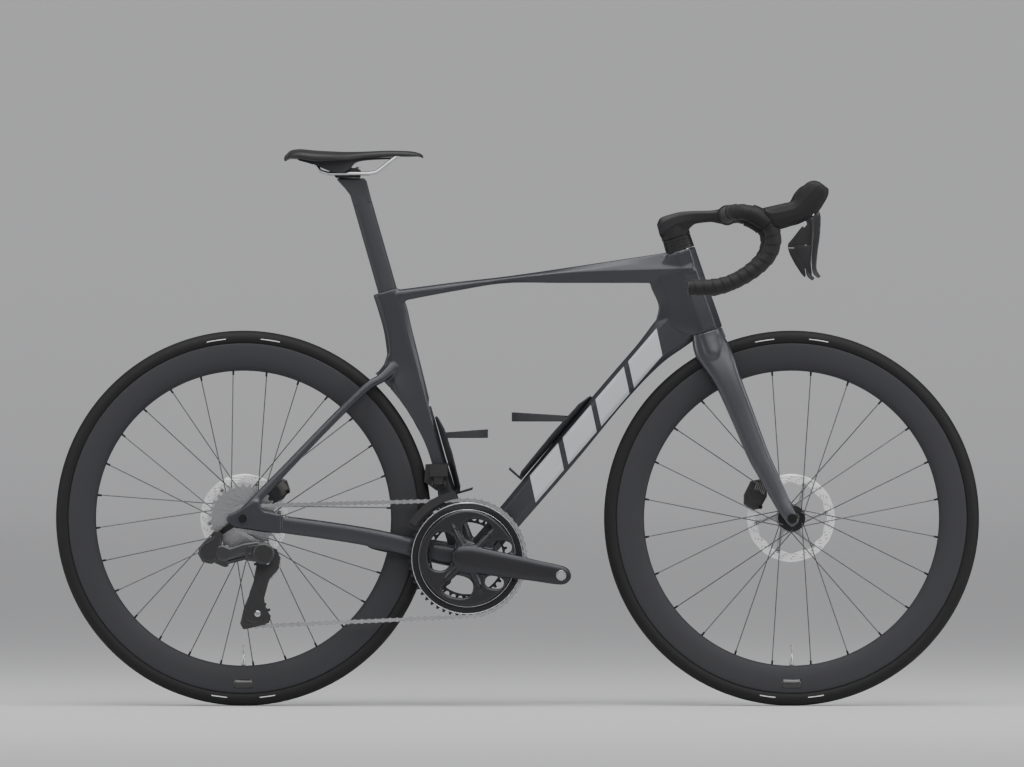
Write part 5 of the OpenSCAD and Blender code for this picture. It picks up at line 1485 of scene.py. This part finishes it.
@dataclass
class BottleCages(Assembly):
    """Two bottle cages of slim moulded arms."""

    bottle_r: float = 37.4

    def cage(self, name: str, foot: np.ndarray, tilt: float, side: int, face: float, low: float, high: float,
             hoops: Sequence[tuple[float, float]]) -> None:
        """Makes one cage: its base strip, lip, bolts and hoops.

        Args:
            name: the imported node's name.
            foot: where the tube's own line starts.
            tilt: how far the tube leans, in degrees.
            side: 1 ahead of the tube or -1 above it.
            face: distance from the tube's line to its face.
            low: where the base starts along the tube.
            high: where the base ends.
            hoops: height along the tube and depth of each hoop.
        """

        def p(x: float, up: float) -> np.ndarray:
            """Place ahead of the tube's line and up along it."""
            return foot + turned((side * x, up), tilt)

        mid = face + 5 + self.bottle_r
        rings = []
        for up, wing in ((low, 20), (low + 10, 34), ((low + high) / 2, 40), (high - 25, 36), (high - 6, 22),
                         (high, 12)):
            t = np.radians(np.linspace(-wing, wing, 15))
            inner = [(a, self.bottle_r + 0.3) for a in t]
            outer = [(a, self.bottle_r + (4.6 if abs(a) < 0.2 else 3.0)) for a in t]
            rings.append(np.array([spread(p(mid - r * math.cos(a), up), r * math.sin(a))
                                   for a, r in inner + outer[::-1]]))
        lip = [tuple(p(face + x, low + u)) for x, u in ((0.2, -2), (30, -2), (32, 3), (29, 2.5), (6, 2), (0.2, 8))]
        parts = [skin(rings), plate([lip], -13, 13, 1.2, 2)]
        stretch = 1 / abs(math.cos(math.radians(tilt)))
        for up, deep in hoops:
            centre = p(mid, up)
            rows = []
            for a in np.radians(np.linspace(0, 360, 72, endpoint=False)):
                # the hoop slims towards the tube and stays level
                h = deep * (0.62 + 0.38 * (0.5 + 0.5 * side * math.cos(a)))
                rows.append(np.array([(centre[0] + r * math.cos(a) * stretch, r * math.sin(a), centre[1] + z)
                                      for r, z in ((self.bottle_r + 0.2, h), (self.bottle_r + 2.8, h),
                                                   (self.bottle_r + 2.8, 0), (self.bottle_r + 0.2, 0))]))
            parts.append(skin(rows, closed=True))
        self.add(moulded(f"{name}_shell", parts, 1.0, 2), CARBON, "frame", name)
        bolts = [rod(spread(p(face + 5, up)), spread(p(face + 10, up)), 4.5, 20)
                 for up in (low + 0.36 * (high - low), low + 0.8 * (high - low))]
        self.make(f"{name}_bolts", bolts, BRIGHT_STEEL, "frame")

    def build(self) -> None:
        """Makes both cages."""
        lay = self.layout
        self.cage("seat_tube_bottle_cage", lay.crank, lay.lean("seatpost_height"), 1, 13.2, 118, 262, ((210, 16),))
        line = lay.down(0, 1) - lay.down(0, 0)
        tilt = math.degrees(math.atan2(line[1], line[0])) - 90
        self.cage("down_tube_bottle_cage", lay.down(0, 0), tilt, -1, 25.6, 172, 368, ((274, 17),))


@dataclass
class Brakes(Assembly):
    """Flat mount calipers with finned pads and their bolts."""

    half_width: float = 12.8
    inner_half: float = 4.2
    rotor_gap: float = 3.7
    pads_r: float = 73.0
    piston_r: float = 11.5

    def caliper(self, end: str, axle: np.ndarray, way: float, turn: float, rotor_y: float, body: str) -> None:
        """Makes one caliper over its rotor.

        Args:
            end: front or rear.
            axle: the wheel's axle.
            way: direction from the axle to the pads, in degrees.
            turn: how far the caliper's outline is turned.
            rotor_y: the rotor's plane.
            body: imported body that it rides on.
        """
        place = axle + polar(self.pads_r, way)
        outline = around(place, ((-19, -22), (-24, -6), (-20, 22), (-6, 30), (12, 24), (17, 4), (12, -20), (0, -27)),
                                 turn)
        bridge = around(place, ((2, -26), (12, -20), (17, 4), (12, 24), (4, 27), (9, 4)), turn)
        half = self.half_width
        parts = [plate([outline], rotor_y - half, rotor_y - self.inner_half, 3.0, 3),
                 plate([outline], rotor_y + self.inner_half, rotor_y + half, 3.0, 3),
                 plate([bridge], rotor_y - 8, rotor_y + 8, 2.0, 2)]
        for side in BOTH:
            near, far = (rotor_y + side.value * reach for reach in (10, 13))
            parts.append(disc(place + turned((-3, 0), turn), self.piston_r, near, far, 40))
        body_piece = moulded(f"{end}_caliper_body", parts, 1.0, 2)
        cut_away(body_piece, [disc(axle, 83.0, rotor_y - self.rotor_gap, rotor_y + self.rotor_gap, 96)])
        self.add(body_piece, HOUSING, body, f"{end}_caliper")
        fins = []
        for k in range(6):
            x = -9 + 3.6 * k
            fin = around(place, ((x, 6), (x + 1.4, 6), (x + 1.4, 24), (x, 24)), turn)
            fins.append(plate([fin], rotor_y - 13, rotor_y + 13, 0.3, 1))
        self.make(f"{end}_pad_fins", fins, PAD_METAL, body)
        bolts = [bolt(place + turned((11, u), turn), rotor_y - 12.6, -2.4, 4.2) for u in (-17, 19)]
        self.make(f"{end}_caliper_bolts", bolts, BLACK_ALLOY, body)

    def build(self) -> None:
        """Makes both calipers."""
        self.caliper("front", self.layout.front, 147.0, -18.0, 38.0, "steering")
        self.caliper("rear", self.layout.rear, 38.0, -52.0, 56.0, "frame")


@dataclass
class Studio:
    """Pale seamless floor, soft lights and the camera. Its sizes are metres."""

    half_floor: float = 45.0
    bend_start: float = 27.0
    bend_r: float = 8.0
    wall_top: float = 24.0
    lens: float = 388.0
    eye: tuple[float, float, float] = (-0.010, -20.0, 0.584)
    aim: tuple[float, float, float] = (0.0, 0.0, 0.55)

    def place(self, name: str, data: bpy.types.ID) -> bpy.types.Object:
        """Puts a floor, light or camera in the scene."""
        obj = bpy.data.objects.new(name, data)
        bpy.context.scene.collection.objects.link(obj)
        return obj

    def floor(self) -> None:
        """Floor that curves up into a backdrop behind the bicycle."""
        start, r = self.bend_start, self.bend_r
        rows = [(-self.half_floor, 0.0), (start, 0.0)]
        rows += [(start + r * math.sin(a), r - r * math.cos(a)) for a in np.linspace(0.08, math.pi / 2, 16)]
        rows.append((start + r, self.wall_top))
        verts = [(x, y, z) for x in (-self.half_floor, self.half_floor) for y, z in rows]
        n = len(rows)
        mesh = bpy.data.meshes.new("studio_floor")
        mesh.from_pydata(verts, [], [(i, i + 1, n + i + 1, n + i) for i in range(n - 1)])
        mesh.polygons.foreach_set("use_smooth", [True] * len(mesh.polygons))
        obj = self.place("studio_floor", mesh)
        made = bpy.data.materials.new("pale_floor")
        made.use_nodes = True
        shader = made.node_tree.nodes["Principled BSDF"]
        shader.inputs["Base Color"].default_value = (0.6, 0.6, 0.61, 1.0)
        shader.inputs["Roughness"].default_value = 0.75
        obj.data.materials.append(made)

    def light(self, name: str, at: tuple[float, float, float], size: tuple[float, float], watts: float) -> None:
        """Adds a soft rectangular light aimed at the bicycle."""
        data = bpy.data.lights.new(name, "AREA")
        data.shape = "RECTANGLE"
        data.size, data.size_y = size
        data.energy = watts
        obj = self.place(name, data)
        obj.location = at
        obj.rotation_euler = (Vector(self.aim) - Vector(at)).to_track_quat("-Z", "Y").to_euler()

    def sun(self) -> None:
        """Adds a very soft light from high ahead, which reaches the floor and the backdrop evenly."""
        data = bpy.data.lights.new("even_light", "SUN")
        data.energy = 1.7
        data.angle = 1.0
        obj = self.place("even_light", data)
        obj.rotation_euler = (math.radians(42.0), 0.0, math.radians(8.0))

    def camera(self) -> None:
        """Long lens that looks square on at the drive side."""
        data = bpy.data.cameras.new("camera")
        data.sensor_width = 36.0
        data.lens = self.lens
        data.clip_end = 100.0
        obj = self.place("camera", data)
        obj.location = self.eye
        obj.rotation_euler = (math.pi / 2, 0.0, 0.0)
        bpy.context.scene.camera = obj

    def build(self) -> None:
        """Sets up the studio."""
        self.camera()
        self.floor()
        self.light("overhead_bank", (0.0, -0.6, 3.4), (4.2, 2.0), 90.0)
        self.light("near_bank", (0.4, -4.6, 2.3), (4.5, 1.2), 26.0)
        self.light("front_edge", (3.2, -1.2, 1.2), (1.0, 2.4), 40.0)
        self.light("rear_edge", (-3.2, -1.2, 1.4), (1.0, 2.4), 32.0)
        self.sun()
        world = bpy.data.worlds.new("studio_air")
        bpy.context.scene.world = world
        world.use_nodes = True
        world.node_tree.nodes["Background"].inputs["Color"].default_value = (0.75, 0.77, 0.8, 1.0)
        world.node_tree.nodes["Background"].inputs["Strength"].default_value = 0.13


def down_tube_bars(layout: Layout) -> Graphic:
    """Generic graphic of slanted silver bars along the down tube, and a small badge on the seat tube.

    Args:
        layout: places that the graphic is laid out from.

    Returns:
        A function that adds the graphic to a finish and gives its mask and colour.
    """
    foot, line = layout.down(0, 0) * MM, layout.down(0, 1000) - layout.down(0, 0)
    way = math.atan2(line[1], line[0])
    start, end, pitch, filled, soft = 0.172, 0.536, 0.0911, 0.86, 0.0003

    def paint(n: Nodes) -> tuple[Socket, Color]:
        """Adds the graphic's nodes and returns its mask and colour."""
        axes = n.add("ShaderNodeSeparateXYZ", Vector=n.add("ShaderNodeTexCoord").outputs["Object"])
        x = n.math("SUBTRACT", axes.outputs[0], float(foot[0]))
        z = n.math("SUBTRACT", axes.outputs[2], float(foot[1]))
        along = n.math("ADD", n.math("MULTIPLY", x, math.cos(way)), n.math("MULTIPLY", z, math.sin(way)))
        across = n.math("SUBTRACT", n.math("MULTIPLY", x, math.sin(way)), n.math("MULTIPLY", z, math.cos(way)))
        slant = n.math("ADD", along, n.math("MULTIPLY", across, 0.75))
        span = n.band(slant, start, end, soft)
        width = n.band(across, -0.0195, 0.0205, soft)
        step = n.math("FRACT", n.math("DIVIDE", n.math("SUBTRACT", slant, start), pitch))
        bars = n.band(step, -1.0, filled, 0.004)
        flank = n.band(n.math("ABSOLUTE", axes.outputs[1]), 0.012, 0.06, 0.0005)
        mask = n.math("MULTIPLY", n.math("MULTIPLY", n.math("MULTIPLY", span, width), bars), flank)
        badge = n.math("MULTIPLY", n.band(axes.outputs[0], -0.1605, -0.1535, soft),
                       n.band(axes.outputs[2], 0.543, 0.558, soft))
        return n.math("MAXIMUM", mask, badge), (0.5, 0.51, 0.53)

    return paint


def dress_packed(nodes: dict[str, bpy.types.Object], record: dict) -> None:
    """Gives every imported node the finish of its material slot.

    Args:
        nodes: packed objects by name.
        record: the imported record.
    """
    slots = {part["node"]: part["material_slot"] for part in record["subparts"]}
    for name, obj in nodes.items():
        PACKED_FINISHES[slots[name]].coat_on(obj)


def main() -> None:
    """Builds the studio and every assembly."""
    logging.basicConfig(level=logging.INFO, format="%(name)s: %(message)s")
    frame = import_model()
    layout = Layout.read(frame["joints"])
    Studio().build()
    dress_packed(frame["nodes"], frame["record"])
    paint = replace(FRAME_PAINT, name="frame_graphite_bars", decorate=down_tube_bars(layout))
    Frame(layout, paint).build()
    Fork(layout).build()
    Wheel(layout).build()
    Wheel(layout, "rear", spokes=28, start=93.9, flange_low=-15.0, flange_high=34.0, rotor_y=56.0, low_end=-20.0,
          high_end=58.0, flange_r=29.0).build()
    for kind in (Cockpit, Seat, Crankset, RearDerailleur, BottleCages, Brakes):
        kind(layout).build()


if __name__ == "__main__":
    main()
